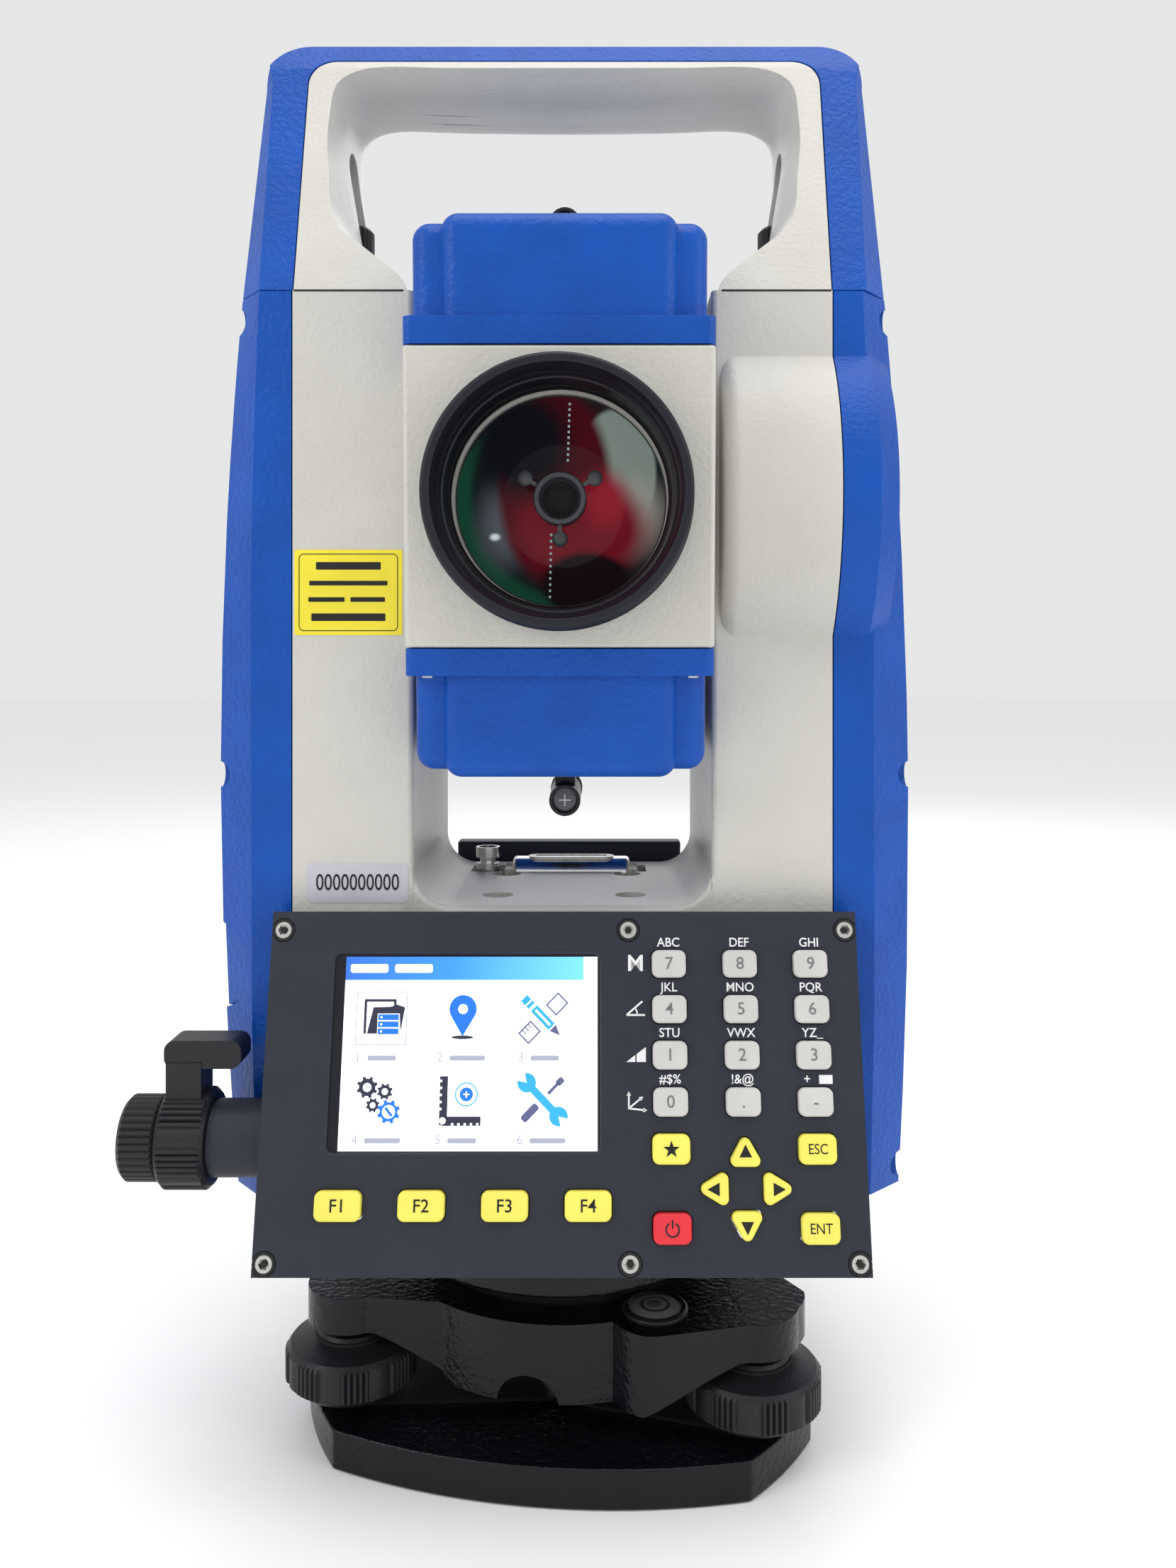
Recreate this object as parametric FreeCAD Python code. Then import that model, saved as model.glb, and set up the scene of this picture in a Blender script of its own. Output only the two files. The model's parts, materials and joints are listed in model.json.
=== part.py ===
import FreeCAD, Part
import math
import os

# Surveying total station on its tribrach, in millimetres.
# Origin: centre of the tripod thread on the underside of the base plate.
# +Z is the vertical axis, -Y the side that the objective lens faces, +X to the right from there.

V = FreeCAD.Vector
X_AXIS = V(1, 0, 0)
Y_AXIS = V(0, 1, 0)
Z_AXIS = V(0, 0, 1)

# Tribrach
TRIBRACH_TURN = -7.0          # the three-armed tribrach stands this far round from the alidade
FOOTSCREW_CIRCLE = 57.0
BASE_THICKNESS = 9.3
THREAD_RADIUS = 7.94          # 5/8 inch tripod thread, major radius
SIDE_REACH = 53.0             # axis to the middle of each bowed side of the base plate
SIDE_HALF = 48.9
SIDE_BOW = 150.0
CORNER_REACH = 66.0
BALL_Z = 5.6
BALL_RADIUS = 4.0
KNOB_RADIUS = 16.3
KNOB_BOTTOM = 12.4
COLLAR_TOP = 26.2
ARM_BOTTOM = 28.4
CONE_RADIUS = 31.0            # foot of the conical clearance over each knob
CASTING_BOTTOM = 18.6
CASTING_TOP = 37.2
BOSS_RADIUS = 10.8
LEVEL_AT = (21.9, -38.6)
LEVEL_RADIUS = 7.8
LOCK_ANGLE = TRIBRACH_TURN + 150
LOCK_Z = 27.4

# Alidade
ALIDADE_BOTTOM = 43.2
YOKE_BOTTOM = 60.2
FLOOR_Z = 132.2
JOINT_Z = 278.7               # parting line between the standards and the handle
TRUNNION_Z = 229.7
TRUNNION = V(0, 0, TRUNNION_Z)
HALF_DEPTH = 36.0
WELL_HALF = 35.5
CORE_HALF = 64.2
TRUNNION_RADIUS = 12.0
BULGE_RADIUS = 49.0
SPINDLE_RADIUS = 12.0
RUNNING = 0.06                # radial clearance of every shaft in its bore

# Side covers
COVER_GAP = 0.3
COVER_WALL = 2.6
COVER_TOP = JOINT_Z - 0.2
COVER_BOTTOM = 63.6
COVER_CURVE = {1: (84.2, 148.0, 2900.0), -1: (83.6, 165.0, 2400.0)}    # side: reach, its height, bow
CHAMFER_DEPTH = 8.0           # how far back the front chamfer of a cover reaches

# Keyboard panels: a slab that leans back, with a hollow housing behind it
PANEL_WIDTH = 134.6
PANEL_HEIGHT = 78.0
PANEL_TILT = 75.6             # angle between the panel's height and the horizontal
PANEL_CENTRE = V(0.6, -53.7, 94.65)
PANEL_PLATE = 3.0
KEY_GAP = 0.25
KEY_PROUD = 1.6
KEY_DEPTH = 2.8
WINDOW = (-53.0, 8.8, -14.1, 30.0)
SCREW_COLUMNS = (-64.7, 14.8, 64.7)
SCREW_ROWS = (34.8, -36.3)

# Telescope, drawn level and then dipped
DIP = 3.5
SCOPE_HALF = 34.0
SCOPE_FRONT = -62.0
SCOPE_REAR = 40.0
SCOPE_SIDE = 33.0
CAP_TOP = 62.0
HOOD_RADIUS = 28.1
LENS_RADIUS = 24.4
SIGHT_FRONT = (-9.0, -19.0)   # front ends of the upper and lower sight

# Handle
HANDLE_TOP = 347.2
TRIM_INSIDE = 64.0
HANDLE_CORE_TOP = 341.9
HANDLE_SCREW_X = 57.0

# Clamps and tangent screws
CLAMP_X = -79.7               # inner face of the horizontal clamp ring
CLAMP_AXIS_Y = -45.3
CLAMP_AXIS_Z = 80.7
SLEEVE_RADIUS = 8.65
CLAMP_RADIUS = 11.3
TANGENT_RADIUS = 9.6
V_CLAMP_X = -50.0
V_CLAMP_Z = 176.0

# Battery in the left standard
BATTERY_Z = (71.0, 134.0)
BATTERY_HALF = 24.0
LATCH_Z = 116.6


# ---------------------------------------------------------------- helpers

def box(xs, ys, zs):
    return Part.makeBox(xs[1] - xs[0], ys[1] - ys[0], zs[1] - zs[0], V(xs[0], ys[0], zs[0]))


def rod(radius, start, end):
    return Part.makeCylinder(radius, (end - start).Length, start, end - start)


def prism(points, reach):
    return Part.Face(Part.makePolygon(points + points[:1])).extrude(reach)


def turned(profile, base, axis):
    """A closed (radius, height) profile turned about an axis through base."""
    points = [V(radius, 0, height) for radius, height in profile]
    face = Part.Face(Part.makePolygon(points + points[:1]))
    solid = face.revolve(V(0, 0, 0), Z_AXIS, 360)
    solid.Placement = FreeCAD.Placement(base, FreeCAD.Rotation(Z_AXIS, axis))
    return solid


def ring(outer, inner, start, end):
    return rod(outer, start, end).cut(rod(inner, start, end))


def fuse(first, *others):
    return first.multiFuse(list(others)).removeSplitter()


def rounded_edges(solid, radius, wanted):
    return solid.makeFillet(radius, [edge for edge in solid.Edges if wanted(edge)])


def runs_along(axis):
    """A test for straight edges parallel to an axis."""
    def test(edge):
        if not isinstance(edge.Curve, Part.Line):
            return False
        return edge.Curve.Direction.cross(axis).Length < 1e-6
    return test


def ribbed_bar(radius, depth, groups, ribs, share, length):
    """A bar along +Z whose rim has groups of ribs; share is the part of the rim that is ribbed."""
    points = []
    group_angle = 2 * math.pi / groups
    rib_angle = group_angle * share / ribs
    for group in range(groups):
        start = group * group_angle
        for rib in range(ribs):
            crest = start + (rib + 0.5) * rib_angle
            for offset, reach in ((-0.5, radius - depth), (-0.2, radius), (0.2, radius)):
                angle = crest + offset * rib_angle
                points.append(V(reach * math.cos(angle), reach * math.sin(angle), 0))
        plain = start + group_angle * share
        for step in range(3 if share < 1 else 0):
            angle = plain + group_angle * (1 - share) * step / 3
            reach = radius - (depth if step == 0 else 0.3 * depth)
            points.append(V(reach * math.cos(angle), reach * math.sin(angle), 0))
    return prism(points, V(0, 0, length))


def ribbed_knob(profile, base, axis, radius, depth, groups, ribs, share):
    """A turned knob whose rim is ribbed."""
    height = max(h for _, h in profile)
    low = min(h for _, h in profile)
    bar = ribbed_bar(radius, depth, groups, ribs, share, height - low)
    bar.translate(V(0, 0, low))
    knob = turned(profile, V(0, 0, 0), Z_AXIS).common(bar)
    knob.Placement = FreeCAD.Placement(base, FreeCAD.Rotation(Z_AXIS, axis))
    return knob


def on_tribrach(side, along, out, z):
    """A point given along and out from the middle of one of the tribrach's three sides."""
    angle = math.radians(TRIBRACH_TURN - 90 + 120 * side)
    outward = V(math.cos(angle), math.sin(angle), 0)
    sideways = V(-math.sin(angle), math.cos(angle), 0)
    return outward * out + sideways * along + V(0, 0, z)


def around(radius, degrees, z):
    angle = math.radians(degrees)
    return V(radius * math.cos(angle), radius * math.sin(angle), z)


def footscrew_point(index, z):
    """Foot screws: 0 right front, 1 rear, 2 left front."""
    return around(FOOTSCREW_CIRCLE, TRIBRACH_TURN - 30 + 120 * index, z)


# ---------------------------------------------------------------- tribrach

def base_plate():
    edges = []
    end_reach = SIDE_REACH - SIDE_HALF ** 2 / (2 * SIDE_BOW)
    for side in range(3):
        start = on_tribrach(side, -SIDE_HALF, end_reach, 0)
        middle = on_tribrach(side, 0, SIDE_REACH, 0)
        end = on_tribrach(side, SIDE_HALF, end_reach, 0)
        corner = around(CORNER_REACH, TRIBRACH_TURN - 30 + 120 * side, 0)
        following = on_tribrach(side + 1, -SIDE_HALF, end_reach, 0)
        edges.append(Part.Arc(start, middle, end).toShape())
        edges.append(Part.Arc(end, corner, following).toShape())
    plate = Part.Face(Part.Wire(edges)).extrude(V(0, 0, BASE_THICKNESS))
    plate = plate.cut(rod(THREAD_RADIUS, V(0, 0, -1), V(0, 0, BASE_THICKNESS + 1)))
    plate = plate.cut(ring(38, 16, V(0, 0, -1), V(0, 0, 1.2)))
    plate = plate.cut(ring(30, 13, V(0, 0, BASE_THICKNESS - 1.5), V(0, 0, BASE_THICKNESS + 1)))
    for index in range(3):
        ball = footscrew_point(index, BALL_Z)
        socket = Part.makeSphere(BALL_RADIUS + RUNNING, ball)
        mouth = rod(BALL_RADIUS + RUNNING, ball, ball + V(0, 0, BASE_THICKNESS))
        plate = plate.cut(socket).cut(mouth)
    return plate


def footscrew(index, ball_attached):
    """Knob and spindle; the ball foot sits in the base plate, the thread in the casting."""
    at = footscrew_point(index, 0)
    profile = [(0, KNOB_BOTTOM), (13, KNOB_BOTTOM), (KNOB_RADIUS, 15), (KNOB_RADIUS, 21.6)]
    profile += [(15, 23.2), (9, 24.8), (8, COLLAR_TOP), (0, COLLAR_TOP)]
    knob = ribbed_knob(profile, at, Z_AXIS, KNOB_RADIUS, 0.7, 8, 5, 0.55)
    # the spindle ends well below the cap, because the casting sinks past it as it tips
    spindle = rod(4, at + V(0, 0, COLLAR_TOP - 1), at + V(0, 0, CASTING_TOP - 4.4))
    neck_bottom = BALL_Z if ball_attached else BALL_Z + BALL_RADIUS - 0.6
    neck = rod(2.6, at + V(0, 0, neck_bottom), at + V(0, 0, KNOB_BOTTOM + 1))
    screw = fuse(knob, spindle, neck)
    if ball_attached:
        return fuse(screw, Part.makeSphere(BALL_RADIUS, at + V(0, 0, BALL_Z)))
    return screw.cut(Part.makeSphere(BALL_RADIUS + RUNNING, at + V(0, 0, BALL_Z)))


def casting_nose():
    """The flowing front wall and the nose that carries the circular level."""
    front = [(-44, -14), (-38, -19.5), (-27, -26.5), (-8, -34), (4, -37.6), (10, -41.2), (14, -46.4)]
    front += [(18.5, -49.8), (24, -49.6), (33, -47.6), (42, -45.4), (50, -42.4), (56, -37), (58.6, -29)]
    curve = Part.BSplineCurve()
    curve.interpolate([V(x, y, CASTING_BOTTOM) for x, y in front])
    corners = [V(58.6, -29, CASTING_BOTTOM), V(44, -4, CASTING_BOTTOM), V(0, 0, CASTING_BOTTOM)]
    corners.append(V(-44, -14, CASTING_BOTTOM))
    back = Part.makePolygon(corners)
    outline = Part.Wire([curve.toShape()] + back.Edges)
    return Part.Face(outline).extrude(V(0, 0, CASTING_TOP - CASTING_BOTTOM))


def tribrach_body():
    body = fuse(rod(45, V(0, 0, CASTING_BOTTOM), V(0, 0, CASTING_TOP)), casting_nose())
    for index in range(3):
        at = footscrew_point(index, 0)
        inward = at * (30 / FOOTSCREW_CIRCLE)
        across = V(-at.y, at.x, 0) * (1 / FOOTSCREW_CIRCLE)
        web = [inward - across * 26, at - across * 10.2, at + across * 10.2, inward + across * 26]
        arm = prism([p + V(0, 0, CASTING_BOTTOM) for p in web], V(0, 0, CASTING_TOP - CASTING_BOTTOM))
        boss = rod(BOSS_RADIUS, at + V(0, 0, CASTING_BOTTOM), at + V(0, 0, CASTING_TOP))
        body = fuse(body, arm, boss)
    body = body.cut(rod(36.4, V(0, 0, CASTING_TOP - 5), V(0, 0, CASTING_TOP + 1)))
    body = body.cut(rod(19, V(0, 0, 0), V(0, 0, CASTING_TOP)))
    for index in range(3):
        at = footscrew_point(index, 0)
        # the skirt rises round each knob in a cone, so its lower rim runs in a smooth wave
        rise = ARM_BOTTOM - CASTING_BOTTOM
        body = body.cut(Part.makeCone(CONE_RADIUS, BOSS_RADIUS + 1.4, rise, at + V(0, 0, CASTING_BOTTOM)))
        # the front screws stand upright while the casting tips, so their bores are wider
        bore = 4 + RUNNING if index == 1 else 5.2
        body = body.cut(rod(bore, at, at + V(0, 0, CASTING_TOP - 2)))
        stud = around(27, TRIBRACH_TURN + 30 + 120 * index, 0)
        body = body.cut(rod(4.4, stud, stud + V(0, 0, CASTING_TOP)))
    body = body.cut(rod(7.4, V(-2, -20, 17.6), V(-9, -48, 17.6)))
    axle = around(1, LOCK_ANGLE, 0)
    body = body.fuse(rod(8, axle * 37 + V(0, 0, LOCK_Z), axle * 48 + V(0, 0, LOCK_Z)))
    body = body.cut(rod(4 + RUNNING, axle * 36 + V(0, 0, LOCK_Z), axle * 60 + V(0, 0, LOCK_Z)))
    body = body.cut(rod(39, V(0, 0, 0), V(0, 0, CASTING_TOP - 9)))
    return body.removeSplitter()


def circular_level():
    at = V(LEVEL_AT[0], LEVEL_AT[1], CASTING_TOP)
    profile = [(0, 0), (LEVEL_RADIUS, 0), (LEVEL_RADIUS, 1.0), (7.2, 1.6), (6.5, 1.6), (6.3, 1.1), (0, 1.1)]
    return turned(profile, at, Z_AXIS)


def tribrach_lock_knob():
    """Swing knob that clamps the instrument's three studs in the tribrach."""
    axis = around(1, LOCK_ANGLE, 0)
    at = V(0, 0, LOCK_Z)
    shaft = rod(4, at + axis * 39.5, at + axis * 50)
    hub = turned([(0, 0), (7.5, 0), (8, 1), (7.4, 7), (6, 8), (0, 8)], at + axis * 48.3, axis)
    wing = prism([V(-8, -3.2, 0), V(8, -1.6, 0), V(15, -1.6, 0), V(15, 1.6, 0), V(8, 1.6, 0),
                  V(-8, 3.2, 0)], V(0, 0, 6))
    wing = rounded_edges(wing, 1.4, runs_along(Z_AXIS))
    wing.Placement = FreeCAD.Placement(at + axis * 49.3, FreeCAD.Rotation(Z_AXIS, axis))
    return fuse(shaft, hub, wing)


# ---------------------------------------------------------------- turning head under the standards

def centring_flange():
    """The part that stays in the tribrach: three studs, the bearing sleeve and the glass circle."""
    seat = CASTING_TOP - 5
    flange = fuse(
        rod(35.8, V(0, 0, seat), V(0, 0, ALIDADE_BOTTOM - 0.6)),
        rod(17, V(0, 0, seat), V(0, 0, YOKE_BOTTOM - 4)),
    )
    for index in range(3):
        stud = around(27, TRIBRACH_TURN + 30 + 120 * index, 0)
        flange = flange.fuse(rod(4, stud + V(0, 0, seat - 7), stud + V(0, 0, seat + 1)))
    flange = flange.cut(rod(SPINDLE_RADIUS + RUNNING, V(0, 0, 0), V(0, 0, YOKE_BOTTOM)))
    circle = ring(34, 17, V(0, 0, ALIDADE_BOTTOM + 3.4), V(0, 0, ALIDADE_BOTTOM + 5))
    return Part.makeCompound([flange.removeSplitter(), circle])


def alidade_base():
    """Round housing that carries the spindle and closes the alidade from below."""
    outer = rod(46, V(0, 0, ALIDADE_BOTTOM), V(0, 0, YOKE_BOTTOM))
    outer = rounded_edges(outer, 2, lambda edge: edge.BoundBox.ZMax < ALIDADE_BOTTOM + 0.01)
    hollow = rod(36, V(0, 0, ALIDADE_BOTTOM + 2), V(0, 0, ALIDADE_BOTTOM + 7))
    sleeve = rod(17.6, V(0, 0, 0), V(0, 0, YOKE_BOTTOM - 3.4))
    spindle = rod(SPINDLE_RADIUS, V(0, 0, CASTING_TOP - 3), V(0, 0, YOKE_BOTTOM))
    sight = rod(5, V(0, 0, 0), V(0, 0, YOKE_BOTTOM - 6))
    body = outer.cut(hollow).cut(sleeve)
    for ys in ((-60, -HALF_DEPTH + 0.2), (HALF_DEPTH - 0.2, 60)):
        # room for the lower corner of each keyboard housing
        body = body.cut(box((-60, 60), ys, (ALIDADE_BOTTOM + 6, YOKE_BOTTOM + 1)))
    return fuse(body, spindle).cut(sight)


# ---------------------------------------------------------------- standards

def well():
    """The open space between the standards, with a rounded floor."""
    cutter = box((-WELL_HALF, WELL_HALF), (-80, 80), (FLOOR_Z, JOINT_Z + 5))

    def floor_edge(edge):
        return runs_along(Y_AXIS)(edge) and edge.BoundBox.ZMax < FLOOR_Z + 1

    return rounded_edges(cutter, 9, floor_edge)


def yoke():
    block = box((-CORE_HALF, CORE_HALF), (-HALF_DEPTH, HALF_DEPTH), (YOKE_BOTTOM, JOINT_Z))
    frame = block.cut(well())

    def well_rim(edge):
        bounds = edge.BoundBox
        flat = bounds.YMax - bounds.YMin < 0.01 and abs(abs(bounds.YMax) - HALF_DEPTH) < 0.01
        inside = max(abs(bounds.XMin), abs(bounds.XMax)) < WELL_HALF + 0.01
        return flat and inside and bounds.ZMin > FLOOR_Z - 0.01

    frame = rounded_edges(frame, 1.5, well_rim)
    bulge = rod(BULGE_RADIUS, V(37.3, 0, TRUNNION_Z), V(CORE_HALF, 0, TRUNNION_Z))
    bulge = rounded_edges(bulge, 4, lambda edge: edge.BoundBox.XMax < 37.4)
    frame = fuse(frame, bulge)
    boss_end = V(V_CLAMP_X, HALF_DEPTH + 8, V_CLAMP_Z)
    boss = rod(SLEEVE_RADIUS, V(V_CLAMP_X, HALF_DEPTH - 1, V_CLAMP_Z), boss_end)
    stub = rod(6, boss_end - V(0, 1, 0), boss_end + V(0, 11.4, 0))
    frame = fuse(frame, boss, stub)

    bore = TRUNNION_RADIUS + RUNNING
    cuts = [rod(bore, V(-60, 0, TRUNNION_Z), V(60, 0, TRUNNION_Z))]
    cuts.append(rod(42, V(46, 0, TRUNNION_Z), V(70, 0, TRUNNION_Z)))
    cuts.append(rod(22, V(-70, 0, TRUNNION_Z), V(-46, 0, TRUNNION_Z)))
    battery_bay = (BATTERY_Z[0] - 1, BATTERY_Z[1] + 1)
    cuts.append(box((-70, -44), (-BATTERY_HALF - 1, BATTERY_HALF + 1), battery_bay))
    cuts.append(box((44, 70), (-27, 27), (68, 170)))
    for side in (-1, 1):
        hole = V(side * HANDLE_SCREW_X, 0, JOINT_Z)
        cuts.append(rod(2.5 + RUNNING, hole - V(0, 0, 14), hole))
        for y in (-20.5, 12.5):
            at = V(side * 16.5, y, FLOOR_Z)
            cuts.append(rod(3.8, at - V(0, 0, 7), at + V(0, 0, 1)))
    cuts.append(box((-27, 22), (16, 28), (FLOOR_Z - 7.6, FLOOR_Z + 1)))
    cuts.append(rod(4 + RUNNING, boss_end - V(0, 30, 0), boss_end + V(0, 20, 0)))
    frame = frame.cut(cuts[0].multiFuse(cuts[1:])).removeSplitter()
    # three solids, parted at the inner faces of the standards: left, cross piece, right
    parts = []
    for xs in ((-100, -WELL_HALF), (-WELL_HALF, WELL_HALF), (WELL_HALF, 100)):
        parts.append(frame.common(box(xs, (-80, 80), (0, 400))))
    return Part.makeCompound([solid for part in parts for solid in part.Solids])


def plate_level():
    """Tubular level sunk in the floor between the standards, with its capstan post."""
    y = 22.0
    z = FLOOR_Z - 1.0
    tube = rod(4.5, V(-15.5, y, z), V(17.5, y, z))
    tube = rounded_edges(tube, 1.2, lambda edge: edge.BoundBox.YMax - edge.BoundBox.YMin > 5)
    ends = [box((x - 1.6, x + 1.6), (y - 5, y + 5), (FLOOR_Z - 7.5, FLOOR_Z + 0.6)) for x in (-16, 18)]
    post_at = V(-22.5, 20.5, FLOOR_Z - 7.5)
    post = rod(3.35, post_at, post_at + V(0, 0, 13.9))
    waist = ring(5, 2.2, post_at + V(0, 0, 9.4), post_at + V(0, 0, 11))
    return Part.makeCompound([fuse(tube, *ends), post.cut(waist)])


# ---------------------------------------------------------------- side covers

def cover_reach(side, z):
    """Half width of the instrument over one side cover: a long shallow curve."""
    widest, height, bow = COVER_CURVE[side]
    return widest - (z - height) ** 2 / bow


def facet_reach(side, z):
    """Where the front facet of a side cover turns into its chamfer."""
    return 74.5 - (z - COVER_CURVE[side][1]) ** 2 / 5500


def cover_body(side, inset, inner_x):
    """Lofted body of a side cover, shrunk by inset for its hollow; both sides are drawn at +X."""
    sections = []
    for z in (COVER_BOTTOM + inset, 95, 160, 220, COVER_TOP - inset):
        depth = HALF_DEPTH - inset
        facet = facet_reach(side, z) - inset * 0.6
        reach = cover_reach(side, z) - inset
        outline = [(inner_x, -depth), (facet, -depth), (reach, -depth + CHAMFER_DEPTH)]
        outline += [(reach, depth - CHAMFER_DEPTH), (facet, depth), (inner_x, depth)]
        points = [V(x, y, z) for x, y in outline]
        sections.append(Part.makePolygon(points + points[:1]))
    return Part.makeLoft(sections, True, False)


def screw_spots():
    """Places of the screws that hold a side cover, as (y, z)."""
    return [(y, z) for z in (68.2, 163, 273) for y in (-27.3, 27.3)]


def screw_seat(side, z):
    """Where the head of a cover screw rests in its counterbore."""
    return cover_reach(side, z) - 5.2


def with_screw_seats(cover, side):
    """Bosses, counterbores and holes for the screws of a cover drawn at +X."""
    for y, z in screw_spots():
        seat = screw_seat(side, z)
        cover = fuse(cover, rod(4.6, V(CORE_HALF + COVER_GAP, y, z), V(seat, y, z)))
        cover = cover.cut(rod(3.2, V(seat, y, z), V(90, y, z)))
        cover = cover.cut(rod(1.7, V(CORE_HALF, y, z), V(seat + 1, y, z)))
    return cover


def right_cover():
    cover = cover_body(1, 0, CORE_HALF + COVER_GAP)
    start = V(CORE_HALF + COVER_GAP, 0, TRUNNION_Z)
    rim = [(0, 0), (BULGE_RADIUS, 0), (BULGE_RADIUS, 8.5), (BULGE_RADIUS - 4.5, 13.7), (0, 13.7)]
    inside = [(0, -1), (46, -1), (46, 7.4), (42.4, 11.2), (0, 11.2)]
    cover = fuse(cover, turned(rim, start, X_AXIS))
    cover = cover.cut(cover_body(1, COVER_WALL, CORE_HALF - 2)).cut(turned(inside, start, X_AXIS))
    return with_screw_seats(cover, 1).removeSplitter()


def left_cover():
    cover = cover_body(-1, 0, CORE_HALF + COVER_GAP).cut(cover_body(-1, COVER_WALL, CORE_HALF - 2))
    cover = with_screw_seats(cover, -1)
    bay = (-BATTERY_HALF - 0.5, BATTERY_HALF + 0.5)
    cover = cover.cut(box((60, 90), bay, (BATTERY_Z[0] - 0.5, BATTERY_Z[1] + 0.5)))
    cover = cover.cut(latch_field(0.5, 71.5))
    return cover.removeSplitter().mirror(V(0, 0, 0), X_AXIS)


def latch_field(gap, inner_x):
    """Half-moon field at the front edge of the battery, drawn at +X."""
    edge = -BATTERY_HALF - 0.5
    disc = rod(10.4 + gap, V(inner_x, edge, LATCH_Z), V(92, edge, LATCH_Z))
    return disc.common(box((60, 100), (-60, -BATTERY_HALF - 1 + gap), (0, 200)))


def battery():
    """Battery pack whose outer wall completes the left cover."""
    block = cover_body(-1, 0, 48).common(box((48, 90), (-BATTERY_HALF, BATTERY_HALF), BATTERY_Z))
    grip = rod(7, V(81, -18, 82), V(95, -18, 82)).fuse(rod(7, V(81, 18, 82), V(95, 18, 82)))
    slot = box((81.5, 95), (-18, 18), (75, 89))
    return block.cut(grip.fuse(slot)).removeSplitter().mirror(V(0, 0, 0), X_AXIS)


def battery_latch():
    """Half-moon push latch beside the battery, level with the chamfer of the cover."""
    latch = latch_field(0, 74).common(cover_body(-1, 0.4, 48)).cut(cover_body(-1, 3.2, 48))
    return latch.mirror(V(0, 0, 0), X_AXIS)


# ---------------------------------------------------------------- keyboard panels

def place_on_panel(shape):
    """Move a shape from panel coordinates (u right, v up the slope, w outwards) to the front."""
    shape.Placement = FreeCAD.Placement(PANEL_CENTRE, FreeCAD.Rotation(X_AXIS, PANEL_TILT))
    return shape


def to_rear(shape):
    shape.rotate(V(0, 0, 0), Z_AXIS, 180)
    return shape


def rounded_block(u, v, width, height, low, high, radius):
    block = box((u - width / 2, u + width / 2), (v - height / 2, v + height / 2), (low, high))
    return rounded_edges(block, radius, runs_along(Z_AXIS))


def triangle_block(u, v, size, turn, low, high, radius):
    """Three-cornered block; turn 0 points up the slope."""
    points = [around(size, turn + 90 + 120 * corner, low) + V(u, v, 0) for corner in range(3)]
    return rounded_edges(prism(points, V(0, 0, high - low)), radius, runs_along(Z_AXIS))


DIGIT_COLUMNS = (24.0, 40.2, 56.3)
DIGIT_ROWS = (27.2, 17.2, 7.2, -2.8)
DIGIT_NAMES = (("7", "8", "9"), ("4", "5", "6"), ("1", "2", "3"), ("0", "dot", "minus"))
DIGIT_SIZE = (7.8, 6.2)
FUNCTION_SIZE = (10.3, 6.4)
COMMAND_SIZE = (8.4, 6.4)
ARROW_SIZE = 4.9


def key_table():
    """Every key as name: (kind, u, v, width or size, height or turn)."""
    keys = {}
    for column in range(4):
        keys[f"key_f{column + 1}"] = ("block", -49.1 + 18.25 * column, -24.4, *FUNCTION_SIZE)
    for row, names in zip(DIGIT_ROWS, DIGIT_NAMES):
        for u, name in zip(DIGIT_COLUMNS, names):
            keys["key_" + name] = ("block", u, row, *DIGIT_SIZE)
    left, _, right = DIGIT_COLUMNS
    keys["key_star"] = ("block", left, -12.7, *COMMAND_SIZE)
    keys["key_escape"] = ("block", right, -12.7, *COMMAND_SIZE)
    keys["key_power"] = ("block", left, -29.0, *COMMAND_SIZE)
    keys["key_enter"] = ("block", right, -29.0, *COMMAND_SIZE)
    keys["key_up"] = ("triangle", 40.3, -13.9, ARROW_SIZE, 0)
    keys["key_left"] = ("triangle", 34.0, -20.9, ARROW_SIZE, 90)
    keys["key_down"] = ("triangle", 40.3, -27.9, ARROW_SIZE, 180)
    keys["key_right"] = ("triangle", 46.6, -20.9, ARROW_SIZE, 270)
    return keys


def key_block(entry, gap, low, high):
    kind, u, v, first, second = entry
    if kind == "block":
        return rounded_block(u, v, first + 2 * gap, second + 2 * gap, low, high, 1.6 + gap)
    return triangle_block(u, v, first + 2 * gap, second, low, high, 1.3 + gap)


def key(entry):
    """A key cap that stands proud of the panel and reaches through its plate."""
    cap = key_block(entry, 0, -KEY_DEPTH, KEY_PROUD)
    return place_on_panel(cap)


def panel_housing():
    """Front plate with windows for screen and keys, and the wedge-shaped hollow housing."""
    half = PANEL_WIDTH / 2
    slab = box((-half, half), (-PANEL_HEIGHT / 2, PANEL_HEIGHT / 2), (-34, 0))
    slab = place_on_panel(slab)
    keep = box((-100, 100), (-100, -HALF_DEPTH - 0.1), (0, 200))
    slab = slab.common(keep)
    inside = box((-half + 3, half - 3), (-PANEL_HEIGHT / 2 + 3, PANEL_HEIGHT / 2 - 3), (-40, -PANEL_PLATE))
    slab = slab.cut(place_on_panel(inside))
    u0, u1, v0, v1 = WINDOW
    window = rounded_block((u0 + u1) / 2, (v0 + v1) / 2, u1 - u0, v1 - v0, -10, 5, 1.5)
    cutters = [place_on_panel(window)]
    for entry in key_table().values():
        cutters.append(place_on_panel(key_block(entry, KEY_GAP, -10, 5)))
    for u in SCREW_COLUMNS:
        for v in SCREW_ROWS:
            well_cut = fuse(rod(2.7, V(u, v, -1.5), V(u, v, 5)), rod(1.3, V(u, v, -8), V(u, v, 5)))
            cutters.append(place_on_panel(well_cut))
    return slab.cut(cutters[0].multiFuse(cutters[1:]))


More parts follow.
